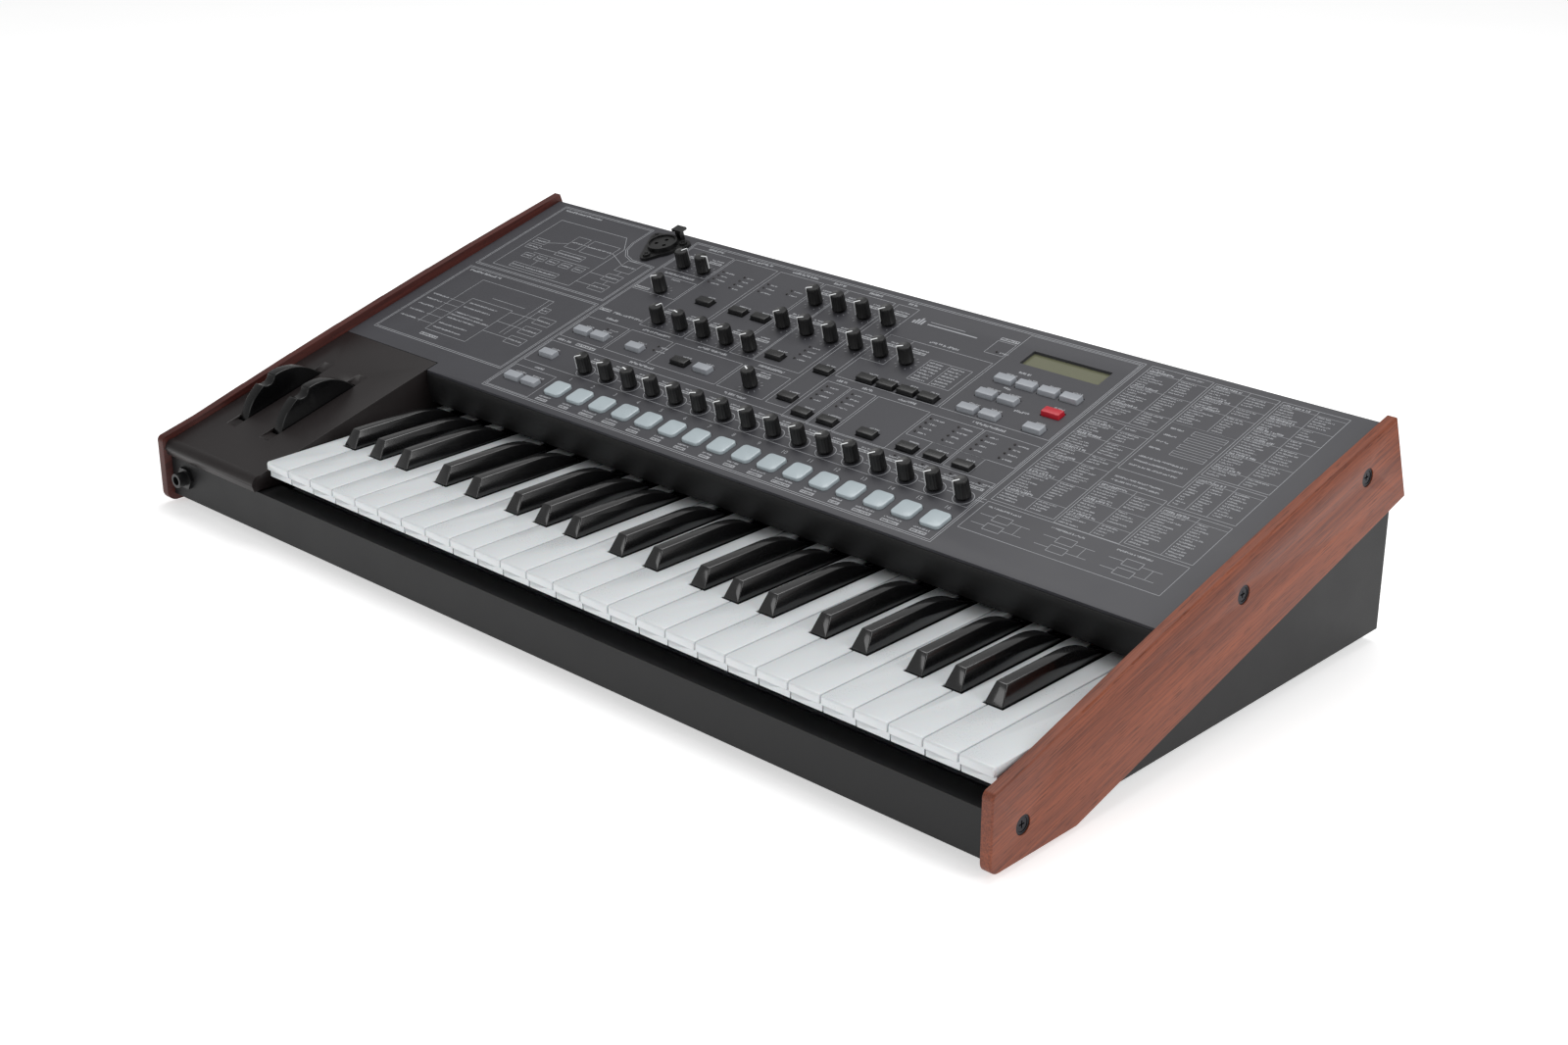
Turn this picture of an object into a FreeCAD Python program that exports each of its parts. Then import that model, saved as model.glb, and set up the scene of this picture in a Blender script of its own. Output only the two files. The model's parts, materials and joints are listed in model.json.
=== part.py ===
import FreeCAD, Part
import math
import os

# Analogue-modelling synthesizer with a keyboard, a sloped control panel and wooden end cheeks.
# All sizes are in millimetres.  The layout frame used below has x to the player's right, y to the
# back from the front of the cheeks, and z up from the underside of the cheeks.  save() moves each
# finished shape to the part's own frame, whose origin is the bottom centre of the bounding box.

V = FreeCAD.Vector
X_AXIS = V(1, 0, 0)
Y_AXIS = V(0, 1, 0)
Z_AXIS = V(0, 0, 1)

# Overall
WIDTH = 735.0
DEPTH = 388.0            # front of the cheeks to their rear corner
CHEEK_T = 7.0
FOOT_DROP = 3.0          # rubber feet stand this far below the cheeks
PHONES_PROUD = 3.5       # the headphone bush stands this far in front of the cheeks
BODY_HALF = WIDTH / 2 - CHEEK_T

# Cheek outline
CHEEK_NOSE_H = 46.0
CHEEK_KINK_Y = 72.0
CHEEK_REAR_Z = 92.5
CHEEK_TOP_Y = 369.2
CHEEK_TOP_Z = 146.8
CHEEK_SCREWS = [(25.4, 20.5), (216.7, 84.5), (340.6, 117.7)]
CHEEK_CUP_R = 5.8

# Sheet metal chassis
SHEET = 1.5
CHASSIS_Z = 4.8
CHASSIS_FRONT = 5.7
CHASSIS_REAR = 383.2
CHASSIS_REAR_H = 94.5
RAIL_H = 33.5
RAIL_FLANGE = 18.0
FLOOR_Z = CHASSIS_Z + SHEET

# Control panel: a plane rising to the rear; panel coordinates are (x, s up the slope, h outward)
PANEL_SLOPE = 15.05
PANEL_FRONT_Y = 150.5
PANEL_FRONT_Z = 83.0
PANEL_LENGTH = 226.5
PANEL_T = 2.0
PANEL_HALF = BODY_HALF - 0.3
PANEL_STEP_S = 10.5      # the panel starts higher up beside the wheel block
PANEL_STEP_X = -257.3
SKIRT_H = 48.0
BOARD_H = -10.0          # top of the panel circuit board
SLOPE_COS = math.cos(math.radians(PANEL_SLOPE))
SLOPE_TAN = math.tan(math.radians(PANEL_SLOPE))

# Wheel block and key well
BLOCK_RIGHT = -258.5
BLOCK_WALL = 2.5
BLOCK_BOTTOM = RAIL_H + 0.8
BLOCK_REAR = PANEL_FRONT_Y + PANEL_STEP_S * SLOPE_COS - 0.3
WHEEL_R = 38.5
WHEEL_W = 8.5
WHEEL_Y = 87.05
WHEEL_Z = 44.2
WHEEL_XS = {"pitch_wheel": -334.7, "mod_wheel": -295.8}
WHEEL_NOTCH_R = 7.0
WHEEL_NOTCH_ANGLE = 11.8
AXLE_R = 3.0
SLOT_W = 10.5
SLOT_S = (-106.5, -36.5)
RECESS = 10.0
RECESS_DEPTH = 1.8

# Keyboard
KEY_PITCH = 23.6
KEYS_LEFT = -254.7
KEY_FRONT = 11.5
KEY_TOP = 54.8
KEY_LIP_T = 5.8
KEY_LIP_DEPTH = 2.5
KEY_BODY_H = 11.0
KEY_GAP = 1.0
KEY_REAR = 203.0
KEY_PIVOT_Y = 198.0
KEY_PIVOT_Z = 49.3
KEY_ROD_R = 2.0
KEY_BORE_R = 2.1
KEYBED_Y = (31.0, 212.0)  # behind the front cheek screws
TAIL_FROM = 162.0
TAIL_TRIM = 2.0
BLACK_BASE_W = 12.1
BLACK_TOP_W = 7.3
BLACK_H = 11.0
BLACK_FRONT = 65.0
BLACK_TOP_FRONT = 71.5
BLACK_FLAT_END = 120.0
BLACK_REAR = 153.0
BLACK_CLEAR = 0.9
WHITE_COUNT = 26
FIRST_NOTE = 3           # the lowest white key is an F, counted from C = 0
SHARP_OFFSETS = {0: -3.4, 1: 3.4, 3: -4.3, 4: -0.8, 5: 3.3}

# Controls, as (x, s) on the panel
COLUMN_X = -146.4
COLUMN_PITCH = 22.0
ROW_S = 50.0
STEP_S = 23.8
STEP_SIZE = 15.4
BUTTON_W = 14.5
BUTTON_D = 7.8
BUTTON_TOP = 3.0
STEP_TOP = 2.0
KNOB_GAP = 1.2
KNOB_H = 12.0
KNOB_R_LOW = 5.2
KNOB_R_TOP = 4.6
SHAFT_R = 3.0
PANEL_HOLE_R = 3.6
BUTTON_CLEAR = 0.3

# Sockets
JACK_R = 3.2
JACK_BUSH_R = 5.0
JACK_DEPTH = 22.0
SOCKET_Z = 50.0
LINE_JACK_XS = [-110.0, -80.0, -20.0, 10.0, 70.0, 100.0]
DIN_XS = [160.0, 190.0, 220.0]
POWER_INLET_X = 265.0
POWER_SWITCH_X = 305.0
PHONES_X = -343.2
PHONES_Z = 21.0
MIC_X = -223.5
MIC_S = 204.0
DISPLAY_X = 150.5
DISPLAY_S = 195.2
DISPLAY_W = 62.0
DISPLAY_D = 16.0

MID_Y = (DEPTH - PHONES_PROUD) / 2


def column(index):
    """x of a column of the sixteen-column grid; half columns are allowed."""
    return COLUMN_X + COLUMN_PITCH * index


# Knob names with their place and the pointer's angle at rest, counter-clockwise from straight up
# the slope.  Every potentiometer turns from 150 degrees on one side to 150 on the other.
UPPER_KNOBS = [
    ("knob_mic_level_1", -187.2, 189.1, -25), ("knob_mic_level_2", -167.1, 189.1, -75),
    ("knob_main_volume", -177.2, 154.8, 125),
    ("knob_timbre_pan", column(0), 121.9, -20), ("knob_portamento", column(1), 121.9, 75),
    ("knob_mix_1", column(2), 121.9, 140), ("knob_mix_2", column(3), 121.9, 140),
    ("knob_noise", column(4), 121.9, 140),
    ("knob_tempo", column(5.5), 87.1, 60),
    ("knob_cutoff", column(4), 189.2, 125), ("knob_resonance", column(5), 189.2, 140),
    ("knob_filter_depth", column(6), 189.2, 140), ("knob_key_track", column(7), 189.2, 140),
    ("knob_attack", column(4), 155.5, 140), ("knob_decay", column(5), 155.5, 125),
    ("knob_sustain", column(6), 155.5, 140), ("knob_release", column(7), 155.5, 140),
    ("knob_lfo_rate", column(8), 155.5, 140), ("knob_delay_time", column(9), 155.5, 125),
]
ROW_ANGLES = [140, 125, 75, 140, 140, 115, 140, 140, 125, 140, 110, 140, 140, 125, 140, 140]
ROW_KNOBS = [("knob_row_%02d" % (i + 1), column(i), ROW_S, a) for i, a in enumerate(ROW_ANGLES)]
KNOBS = UPPER_KNOBS + ROW_KNOBS

CLUSTER_X = 124.6
CLUSTER_PITCH = 17.3
CLUSTER_S = (166.1, 147.1, 128.1)
GREY_BUTTONS = [(-188.8, 88.3), (-171.7, 88.3), (-188.8, 54.7), (-189.2, 22.1), (-172.1, 22.1),
                (-136.3, 88.2), (-70.5, 88.1)]
GREY_BUTTONS += [(CLUSTER_X + CLUSTER_PITCH * i, CLUSTER_S[0]) for i in range(4)]
GREY_BUTTONS += [(CLUSTER_X + CLUSTER_PITCH * i, CLUSTER_S[1]) for i in range(2)]
GREY_BUTTONS += [(CLUSTER_X + CLUSTER_PITCH * i, CLUSTER_S[2]) for i in (0, 1, 3)]
RED_BUTTON = [(CLUSTER_X + CLUSTER_PITCH * 3, CLUSTER_S[1])]
BLACK_BUTTONS = [(-134.1, 156.4), (-101.9, 156.4), (-80.6, 156.4), (-36.0, 122.9), (-92.0, 87.9),
                 (7.8, 122.9), (7.8, 87.1), (29.6, 76.8), (51.5, 76.8), (85.0, 76.8),
                 (118.3, 76.0), (140.3, 76.0), (162.7, 76.0)]
BLACK_BUTTONS += [(41.4 + 17.2 * i, 127.2) for i in range(4)]
STEP_BUTTONS = [(column(i), STEP_S) for i in range(16)]


# ---- helpers -------------------------------------------------------------------------------

def box(x0, x1, y0, y1, z0, z1):
    return Part.makeBox(x1 - x0, y1 - y0, z1 - z0, V(x0, y0, z0))


def prism_x(points, x0, x1):
    """Extrude a closed outline of (y, z) points along x."""
    corners = [V(x0, y, z) for y, z in points]
    return Part.Face(Part.makePolygon(corners + corners[:1])).extrude(V(x1 - x0, 0, 0))


def prism_edges(edges, x0, x1):
    """Extrude a closed outline of edges that lie at x = 0 along x."""
    face = Part.Face(Part.Wire(Part.__sortEdges__(edges)))
    face.translate(V(x0, 0, 0))
    return face.extrude(V(x1 - x0, 0, 0))


def line(a, b):
    return Part.LineSegment(V(0, a[0], a[1]), V(0, b[0], b[1])).toShape()


def arc(a, through, b):
    return Part.Arc(V(0, a[0], a[1]), V(0, through[0], through[1]), V(0, b[0], b[1])).toShape()


def on_panel(shape):
    """Carry a shape from panel coordinates (x, s, h) to the layout frame."""
    shape.rotate(V(0, 0, 0), X_AXIS, PANEL_SLOPE)
    shape.translate(V(0, PANEL_FRONT_Y, PANEL_FRONT_Z))
    return shape


def slope_z(y):
    """Height of the sloped outer surface at depth y."""
    return PANEL_FRONT_Z + (y - PANEL_FRONT_Y) * SLOPE_TAN


def rounded_slab(x, s, width, depth, radius, h0, h1):
    """A slab with rounded corners, in panel coordinates."""
    slab = box(x - width / 2, x + width / 2, s - depth / 2, s + depth / 2, h0, h1)
    upright = [e for e in slab.Edges if abs(e.tangentAt(e.FirstParameter).z) > 0.9]
    return slab.makeFillet(radius, upright)


def top_edges(shape, h):
    return [e for e in shape.Edges if all(abs(v.Point.z - h) < 1e-6 for v in e.Vertexes)]


def hexagon(across_flats, thickness, centre, axis):
    radius = across_flats / math.sqrt(3)
    corners = [V(radius * math.cos(math.radians(60 * k)), radius * math.sin(math.radians(60 * k)), 0)
               for k in range(7)]
    nut = Part.Face(Part.makePolygon(corners)).extrude(V(0, 0, thickness))
    nut.Placement = FreeCAD.Placement(centre, FreeCAD.Rotation(Z_AXIS, axis))
    return nut


def save(name, solids):
    """Move a shape, or a list of separate solids, to the part's frame and write it."""
    shape = Part.makeCompound(solids) if isinstance(solids, list) else solids
    shape.translate(V(0, -MID_Y, FOOT_DROP))
    shape.exportStep("parts/%s.step" % name)


# ---- wooden cheeks and their screws ----------------------------------------------------------

def cheek(side):
    """One end cheek; side is -1 for the left and +1 for the right."""
    inner = side * BODY_HALF
    outer = side * WIDTH / 2
    r_low = 7.0
    r_nose = 3.5
    bend = (30.0, 54.2)
    edges = [
        line((r_low, 0), (CHEEK_KINK_Y, 0)),
        line((CHEEK_KINK_Y, 0), (DEPTH, CHEEK_REAR_Z)),
        line((DEPTH, CHEEK_REAR_Z), (CHEEK_TOP_Y, CHEEK_TOP_Z)),
        arc((CHEEK_TOP_Y, CHEEK_TOP_Z), (196.0, 102.2), bend),
        line(bend, (r_nose, CHEEK_NOSE_H + 1.6)),
        arc((r_nose, CHEEK_NOSE_H + 1.6), (0.9, CHEEK_NOSE_H + 0.2), (0, CHEEK_NOSE_H - r_nose)),
        line((0, CHEEK_NOSE_H - r_nose), (0, r_low)),
        arc((0, r_low), (r_low * (1 - math.sqrt(0.5)), r_low * (1 - math.sqrt(0.5))), (r_low, 0)),
    ]
    body = prism_edges(edges, min(inner, outer), max(inner, outer))
    rim = [e for e in body.Edges if all(abs(v.Point.x - outer) < 1e-6 for v in e.Vertexes)]
    body = body.makeFillet(1.2, rim)
    for y, z in CHEEK_SCREWS:
        outward = V(side, 0, 0)
        body = body.cut(Part.makeCylinder(CHEEK_CUP_R, 3.4, V(outer - side * 3.2, y, z), outward))
        body = body.cut(Part.makeCylinder(2.2, CHEEK_T + 2, V(inner - side, y, z), outward))
    return body


def cheek_screws():
    """Each screw has a countersunk cup washer and a cross-headed screw."""
    solids = []
    for side in (-1, 1):
        outer = side * WIDTH / 2
        outward = V(side, 0, 0)
        for y, z in CHEEK_SCREWS:
            seat = V(outer - side * 3.2, y, z)
            cup = Part.makeCylinder(CHEEK_CUP_R - 0.1, 2.6, seat, outward)
            cup = cup.cut(Part.makeCylinder(4.3, 3.0, seat + outward * 0.8, outward))
            cup = cup.cut(Part.makeCylinder(2.2, 1.0, seat - outward * 0.05, outward))
            head = Part.makeCylinder(4.1, 1.5, seat + outward * 0.8, outward)
            for w, d in ((0.9, 4.4), (4.4, 0.9)):
                cross = box(-2, 2, y - w / 2, y + w / 2, z - d / 2, z + d / 2)
                cross.translate(V(outer - side * 0.4 + side * 0.6, 0, 0))
                head = head.cut(cross)
            shank = Part.makeCylinder(2.0, 11.0, seat + outward * 0.9, outward * -1)
            solids += [cup, head.fuse(shank).removeSplitter()]
    return solids


# ---- chassis, panel, block, fallboard --------------------------------------------------------

def side_plate(side):
    """Wall under a cheek that follows the underside of the sloped panel."""
    under = PANEL_T / SLOPE_COS + 0.7
    wall_y = BLOCK_REAR + 2.0
    rear_y = 366.2
    front = CHASSIS_FRONT + SHEET
    rear = CHASSIS_REAR - SHEET
    outline = [(front, FLOOR_Z), (rear, FLOOR_Z), (rear, CHASSIS_REAR_H), (378.9, CHASSIS_REAR_H),
               (rear_y, slope_z(rear_y) - under), (wall_y, slope_z(wall_y) - under),
               (wall_y, RAIL_H - SHEET), (front, RAIL_H - SHEET)]
    x0, x1 = sorted((side * BODY_HALF, side * (BODY_HALF - SHEET)))
    wall = prism_x(outline, x0, x1)
    for y, z in CHEEK_SCREWS:
        wall = wall.cut(Part.makeCylinder(2.2, 4.0, V(side * BODY_HALF - 2, y, z), X_AXIS))
    return wall


def rear_plate():
    """Rear wall with a hole for every socket and the switch."""
    plate = box(-BODY_HALF, BODY_HALF, CHASSIS_REAR - SHEET, CHASSIS_REAR, FLOOR_Z, CHASSIS_REAR_H)
    start = CHASSIS_REAR - 3
    holes = [(x, JACK_BUSH_R + 0.1) for x in LINE_JACK_XS] + [(x, 8.3) for x in DIN_XS]
    holes.append((POWER_INLET_X, 5.6))
    for x, radius in holes:
        plate = plate.cut(Part.makeCylinder(radius, 6, V(x, start, SOCKET_Z), Y_AXIS))
    return plate.cut(box(POWER_SWITCH_X - 6.6, POWER_SWITCH_X + 6.6, start, start + 6,
                         SOCKET_Z - 9.6, SOCKET_Z + 9.6))


def bottom_chassis():
    """Folded floor with a flanged front rail, and the rear and side plates spot-welded to it."""
    full = (-BODY_HALF, BODY_HALF)
    tray = box(*full, CHASSIS_FRONT, CHASSIS_REAR, CHASSIS_Z, FLOOR_Z)
    tray = tray.fuse(box(*full, CHASSIS_FRONT, CHASSIS_FRONT + SHEET, CHASSIS_Z, RAIL_H))
    tray = tray.fuse(box(*full, CHASSIS_FRONT, CHASSIS_FRONT + RAIL_FLANGE, RAIL_H - SHEET, RAIL_H))
    tray = tray.cut(Part.makeCylinder(JACK_BUSH_R + 0.5, 6, V(PHONES_X, 4, PHONES_Z), Y_AXIS))
    return [tray.removeSplitter(), rear_plate(), side_plate(-1), side_plate(1)]


def control_panel():
    """Sloped steel cover with a rear skirt and an opening for every control."""
    corners = [(PANEL_STEP_X, 0), (PANEL_HALF, 0), (PANEL_HALF, PANEL_LENGTH),
               (-PANEL_HALF, PANEL_LENGTH), (-PANEL_HALF, PANEL_STEP_S), (PANEL_STEP_X, PANEL_STEP_S)]
    points = [V(x, s, -PANEL_T) for x, s in corners]
    plate = Part.Face(Part.makePolygon(points + points[:1])).extrude(V(0, 0, PANEL_T))
    plate = plate.fuse(box(-PANEL_HALF, PANEL_HALF, PANEL_LENGTH - SHEET, PANEL_LENGTH, -SKIRT_H, 0))
    plate = plate.removeSplitter()
    bend = [e for e in plate.Edges
            if all(abs(v.Point.z) < 1e-6 and abs(v.Point.y - PANEL_LENGTH) < 1e-6 for v in e.Vertexes)]
    plate = plate.makeFillet(1.2, bend)
    deep = -PANEL_T - 1
    cutters = [Part.makeCylinder(PANEL_HOLE_R, 5, V(x, s, deep)) for _, x, s, _ in KNOBS]
    slot_w = BUTTON_W + 2 * BUTTON_CLEAR
    slot_d = BUTTON_D + 2 * BUTTON_CLEAR
    for x, s in GREY_BUTTONS + RED_BUTTON + BLACK_BUTTONS:
        cutters.append(rounded_slab(x, s, slot_w, slot_d, 0.8, deep, 2))
    step_slot = STEP_SIZE + 2 * BUTTON_CLEAR
    for x, s in STEP_BUTTONS:
        cutters.append(rounded_slab(x, s, step_slot, step_slot, 3.2 + BUTTON_CLEAR, deep, 2))
    cutters.append(rounded_slab(DISPLAY_X, DISPLAY_S, DISPLAY_W, DISPLAY_D, 0.8, deep, 2))
    cutters.append(Part.makeCylinder(12.0, 5, V(MIC_X, MIC_S, deep)))
    return on_panel(plate.cut(cutters))


def wheel_block():
    """Moulded block left of the keys: sloped top with wheel slots, rounded nose, key-well wall."""
    def outline(inset):
        # inset moves the top and the nose inward by the wall thickness
        top = inset / SLOPE_COS
        nose_y = 8.5 + 0.4 * inset
        rear = BLOCK_REAR - inset
        front = 1.2 + inset
        return [
            line((rear, slope_z(rear) - top), (nose_y, slope_z(nose_y) - top)),
            arc((nose_y, slope_z(nose_y) - top), (front + 1.3, 42.4 - 1.1 * inset), (front, 38.6 - inset)),
            line((front, 38.6 - inset), (front + 1.5, BLOCK_BOTTOM)),
            line((front + 1.5, BLOCK_BOTTOM), (rear, BLOCK_BOTTOM)),
            line((rear, BLOCK_BOTTOM), (rear, slope_z(rear) - top)),
        ]

    left = -PANEL_HALF
    block = prism_edges(outline(0.0), left, BLOCK_RIGHT)
    hollow = prism_edges(outline(BLOCK_WALL), left + BLOCK_WALL, BLOCK_RIGHT - BLOCK_WALL)
    floor = box(left + BLOCK_WALL, BLOCK_RIGHT - BLOCK_WALL, BLOCK_WALL + 3.0, BLOCK_REAR - BLOCK_WALL,
                BLOCK_BOTTOM - 1, BLOCK_BOTTOM + 1)
    block = block.cut(hollow).cut(floor)
    s0, s1 = SLOT_S
    for x in WHEEL_XS.values():
        x0, x1 = x - SLOT_W / 2, x + SLOT_W / 2
        slot = box(x0, x1, s0, s1, -BLOCK_WALL - 2, 2)
        front = prism_x([(s0 - RECESS, 0.5), (s0 - RECESS, 0), (s0 + 0.1, -RECESS_DEPTH), (s0 + 0.1, 0.5)],
                        x0, x1)
        rear = prism_x([(s1 + RECESS, 0.5), (s1 + RECESS, 0), (s1 - 0.1, -RECESS_DEPTH), (s1 - 0.1, 0.5)],
                       x0, x1)
        for cutter in (slot, front, rear):
            block = block.cut(on_panel(cutter))
    return block


def fallboard():
    """Curved wall behind the keys with a short flange under the panel's front edge."""
    top, low = (151.0, 80.6), (154.6, 58.0)
    inner_top, inner_low = (153.2, 78.9), (156.6, 58.0)
    tip_low, tip_high = (160.0, 80.7), (160.0, 82.9)
    edges = [
        arc(top, (151.9, 69.0), low), line(low, inner_low), arc(inner_low, (154.0, 69.0), inner_top),
        line(inner_top, tip_low), line(tip_low, tip_high), line(tip_high, top),
    ]
    return prism_edges(edges, BLOCK_RIGHT + 0.2, BODY_HALF - SHEET - 0.3)


# ---- keyboard --------------------------------------------------------------------------------

def sharps():
    """List the black keys as (index of the white key to the left, centre x)."""
    found = []
    for i in range(WHITE_COUNT - 1):
        note = (FIRST_NOTE + i) % 7
        if note in SHARP_OFFSETS:
            found.append((i, KEYS_LEFT + KEY_PITCH * (i + 1) + SHARP_OFFSETS[note]))
    return found


def pivot_bore(x0, x1):
    return Part.makeCylinder(KEY_BORE_R, x1 - x0 + 2, V(x0 - 1, KEY_PIVOT_Y, KEY_PIVOT_Z), X_AXIS)


def white_key(index):
    x0 = KEYS_LEFT + KEY_PITCH * index + KEY_GAP / 2
    x1 = x0 + KEY_PITCH - KEY_GAP
    low = KEY_TOP - KEY_BODY_H
    outline = [(KEY_FRONT, KEY_TOP - KEY_LIP_T), (KEY_FRONT, KEY_TOP - 0.9), (KEY_FRONT + 0.9, KEY_TOP),
               (KEY_REAR, KEY_TOP), (KEY_REAR, low), (KEY_FRONT + KEY_LIP_DEPTH, low),
               (KEY_FRONT + KEY_LIP_DEPTH, KEY_TOP - KEY_LIP_T)]
    key = prism_x(outline, x0, x1)
    half = BLACK_BASE_W / 2 + BLACK_CLEAR
    left, right = x0, x1
    for _, x in sharps():
        if x - half < x1 and x + half > x0:
            key = key.cut(box(x - half, x + half, BLACK_FRONT - BLACK_CLEAR, KEY_REAR + 1,
                              low - 1, KEY_TOP + 1))
            if x > (x0 + x1) / 2:
                right = x - half
            else:
                left = x + half
    for a, b in ((left - 1, left + TAIL_TRIM), (right - TAIL_TRIM, right + 1)):
        key = key.cut(box(a, b, TAIL_FROM, KEY_REAR + 1, low - 1, KEY_TOP + 1))
    return key.cut(pivot_bore(x0, x1))


def black_key(x):
    high = KEY_TOP + BLACK_H
    side = [
        line((BLACK_FRONT, KEY_TOP), (BLACK_TOP_FRONT, high)),
        line((BLACK_TOP_FRONT, high), (BLACK_FLAT_END, high)),
        arc((BLACK_FLAT_END, high), (140.0, high - 3.4), (BLACK_REAR, KEY_TOP + 1.2)),
        line((BLACK_REAR, KEY_TOP + 1.2), (BLACK_REAR, KEY_TOP)),
        line((BLACK_REAR, KEY_TOP), (BLACK_FRONT, KEY_TOP)),
    ]
    long_side = prism_edges(side, x - BLACK_BASE_W, x + BLACK_BASE_W)
    section = [V(x + dx, BLACK_FRONT - 1, z) for dx, z in
               ((-BLACK_BASE_W / 2, KEY_TOP), (BLACK_BASE_W / 2, KEY_TOP),
                (BLACK_TOP_W / 2, high), (-BLACK_TOP_W / 2, high))]
    wedge = Part.Face(Part.makePolygon(section + section[:1])).extrude(V(0, BLACK_REAR - BLACK_FRONT + 2, 0))
    cap = long_side.common(wedge)
    stem = box(x - 5.4, x + 5.4, BLACK_FRONT, TAIL_FROM, KEY_TOP - KEY_BODY_H, KEY_TOP)
    tail = box(x - 4.0, x + 4.0, TAIL_FROM, KEY_REAR, KEY_TOP - KEY_BODY_H, KEY_TOP)
    key = cap.fuse([stem, tail]).removeSplitter()
    return key.cut(pivot_bore(x - 6, x + 6))


def keybed_frame():
    """Steel bridge under the keys with comb ribs that carry the pivot rod."""
    top = 29.5
    x0, x1 = KEYS_LEFT - 1.3, KEYS_LEFT + KEY_PITCH * WHITE_COUNT - 0.2
    front, rear = KEYBED_Y
    frame = box(x0, x1, front, rear, top - SHEET, top)
    frame = frame.fuse(box(x0, x1, front, front + SHEET, FLOOR_Z, top))
    frame = frame.fuse(box(x0, x1, rear - SHEET, rear, FLOOR_Z, KEY_PIVOT_Z + 5))
    seams = [i for i in range(1, WHITE_COUNT) if (FIRST_NOTE + i) % 7 in (0, 3)]
    rib_xs = [x0 + 1.0] + [KEYS_LEFT + KEY_PITCH * i for i in seams] + [x1 - 1.0]
    ribs = [box(x - 1.0, x + 1.0, 188, rear - SHEET, top, KEY_PIVOT_Z + 5) for x in rib_xs]
    frame = frame.fuse(ribs)
    hole = Part.makeCylinder(KEY_ROD_R, x1 - x0 + 2, V(x0 - 1, KEY_PIVOT_Y, KEY_PIVOT_Z), X_AXIS)
    rod = Part.makeCylinder(KEY_ROD_R, x1 - x0, V(x0, KEY_PIVOT_Y, KEY_PIVOT_Z), X_AXIS)
    return [frame.removeSplitter().cut(hole), rod]


# ---- wheels ----------------------------------------------------------------------------------

def wheel(x):
    """Half-exposed wheel with a finger notch, flattened below, moulded on its axle."""
    disc = Part.makeCylinder(WHEEL_R, WHEEL_W, V(x - WHEEL_W / 2, 0, 0), X_AXIS)
    disc = disc.cut(box(x - 10, x + 10, -60, 60, -60, -9))
    angle = math.radians(WHEEL_NOTCH_ANGLE)
    reach = WHEEL_R + WHEEL_NOTCH_R / 2
    notch_at = V(x - 10, -reach * math.sin(angle), reach * math.cos(angle))
    disc = disc.cut(Part.makeCylinder(WHEEL_NOTCH_R, 20, notch_at, X_AXIS))
    hub = Part.makeCylinder(11.0, WHEEL_W, V(x - WHEEL_W / 2, 0, 0), X_AXIS)
    axle = Part.makeCylinder(AXLE_R, 18, V(x - 9, 0, 0), X_AXIS)
    body = disc.fuse([hub, axle]).removeSplitter()
    body.rotate(V(0, 0, 0), X_AXIS, PANEL_SLOPE)
    body.translate(V(0, WHEEL_Y, WHEEL_Z))
    return body


def wheel_bracket():
    """Base on the chassis floor with two bored cheeks for each wheel's axle."""
    xs = sorted(WHEEL_XS.values())
    body = box(xs[0] - 12, xs[1] + 12, 70, 104, FLOOR_Z, FLOOR_Z + SHEET)
    for x in xs:
        for side in (-1, 1):
            a, b = sorted((x + side * 6.3, x + side * 7.8))
            plate = box(a, b, WHEEL_Y - 10, WHEEL_Y + 10, FLOOR_Z, WHEEL_Z + 8)
            body = body.fuse(plate)
    for x in xs:
        body = body.cut(Part.makeCylinder(AXLE_R + 0.06, 24, V(x - 12, WHEEL_Y, WHEEL_Z), X_AXIS))
    return body.removeSplitter()


# ---- controls --------------------------------------------------------------------------------

def knob(x, s, angle):
    """Tapered cap with a pointer groove, and the potentiometer shaft that it is pushed on."""
    top = KNOB_GAP + KNOB_H
    cap = Part.makeCone(KNOB_R_LOW, KNOB_R_TOP, KNOB_H, V(0, 0, KNOB_GAP))
    cap = cap.makeFillet(0.5, top_edges(cap, top))
    groove = box(-0.6, 0.6, 1.0, 6.0, top - 0.4, top + 1)
    groove.rotate(V(0, 0, 0), Z_AXIS, angle)
    cap = cap.cut(groove).cut(Part.makeCylinder(SHAFT_R, 9.5, V(0, 0, 0)))
    shaft = Part.makeCylinder(SHAFT_R, 9.5 + 8.5, V(0, 0, -8.5))
    for solid in (cap, shaft):
        solid.translate(V(x, s, 0))
    return [on_panel(cap), on_panel(shaft)]


def potentiometers():
    """Square bodies on the panel board, each bored for its shaft."""
    solids = []
    for _, x, s, _ in KNOBS:
        body = box(x - 5.5, x + 5.5, s - 5.5, s + 5.5, BOARD_H, -3.0)
        body = body.cut(Part.makeCylinder(SHAFT_R + 0.08, 8, V(x, s, -8.7)))
        solids.append(on_panel(body))
    return solids


def button(x, s, width, depth, corner, top):
    """Key cap with a retaining flange under the panel and a stem for its switch."""
    cap = rounded_slab(x, s, width, depth, corner, -3.0, top)
    cap = cap.makeChamfer(0.6, top_edges(cap, top))
    flange = box(x - width / 2 - 0.6, x + width / 2 + 0.6, s - depth / 2 - 0.6, s + depth / 2 + 0.6,
                 -3.6, -2.4)
    stem = box(x - 2, x + 2, s - 2, s + 2, -6.2, -3.0)
    return on_panel(cap.fuse([flange, stem]).removeSplitter())


def small_buttons(places):
    return [button(x, s, BUTTON_W, BUTTON_D, 0.8, BUTTON_TOP) for x, s in places]


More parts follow.
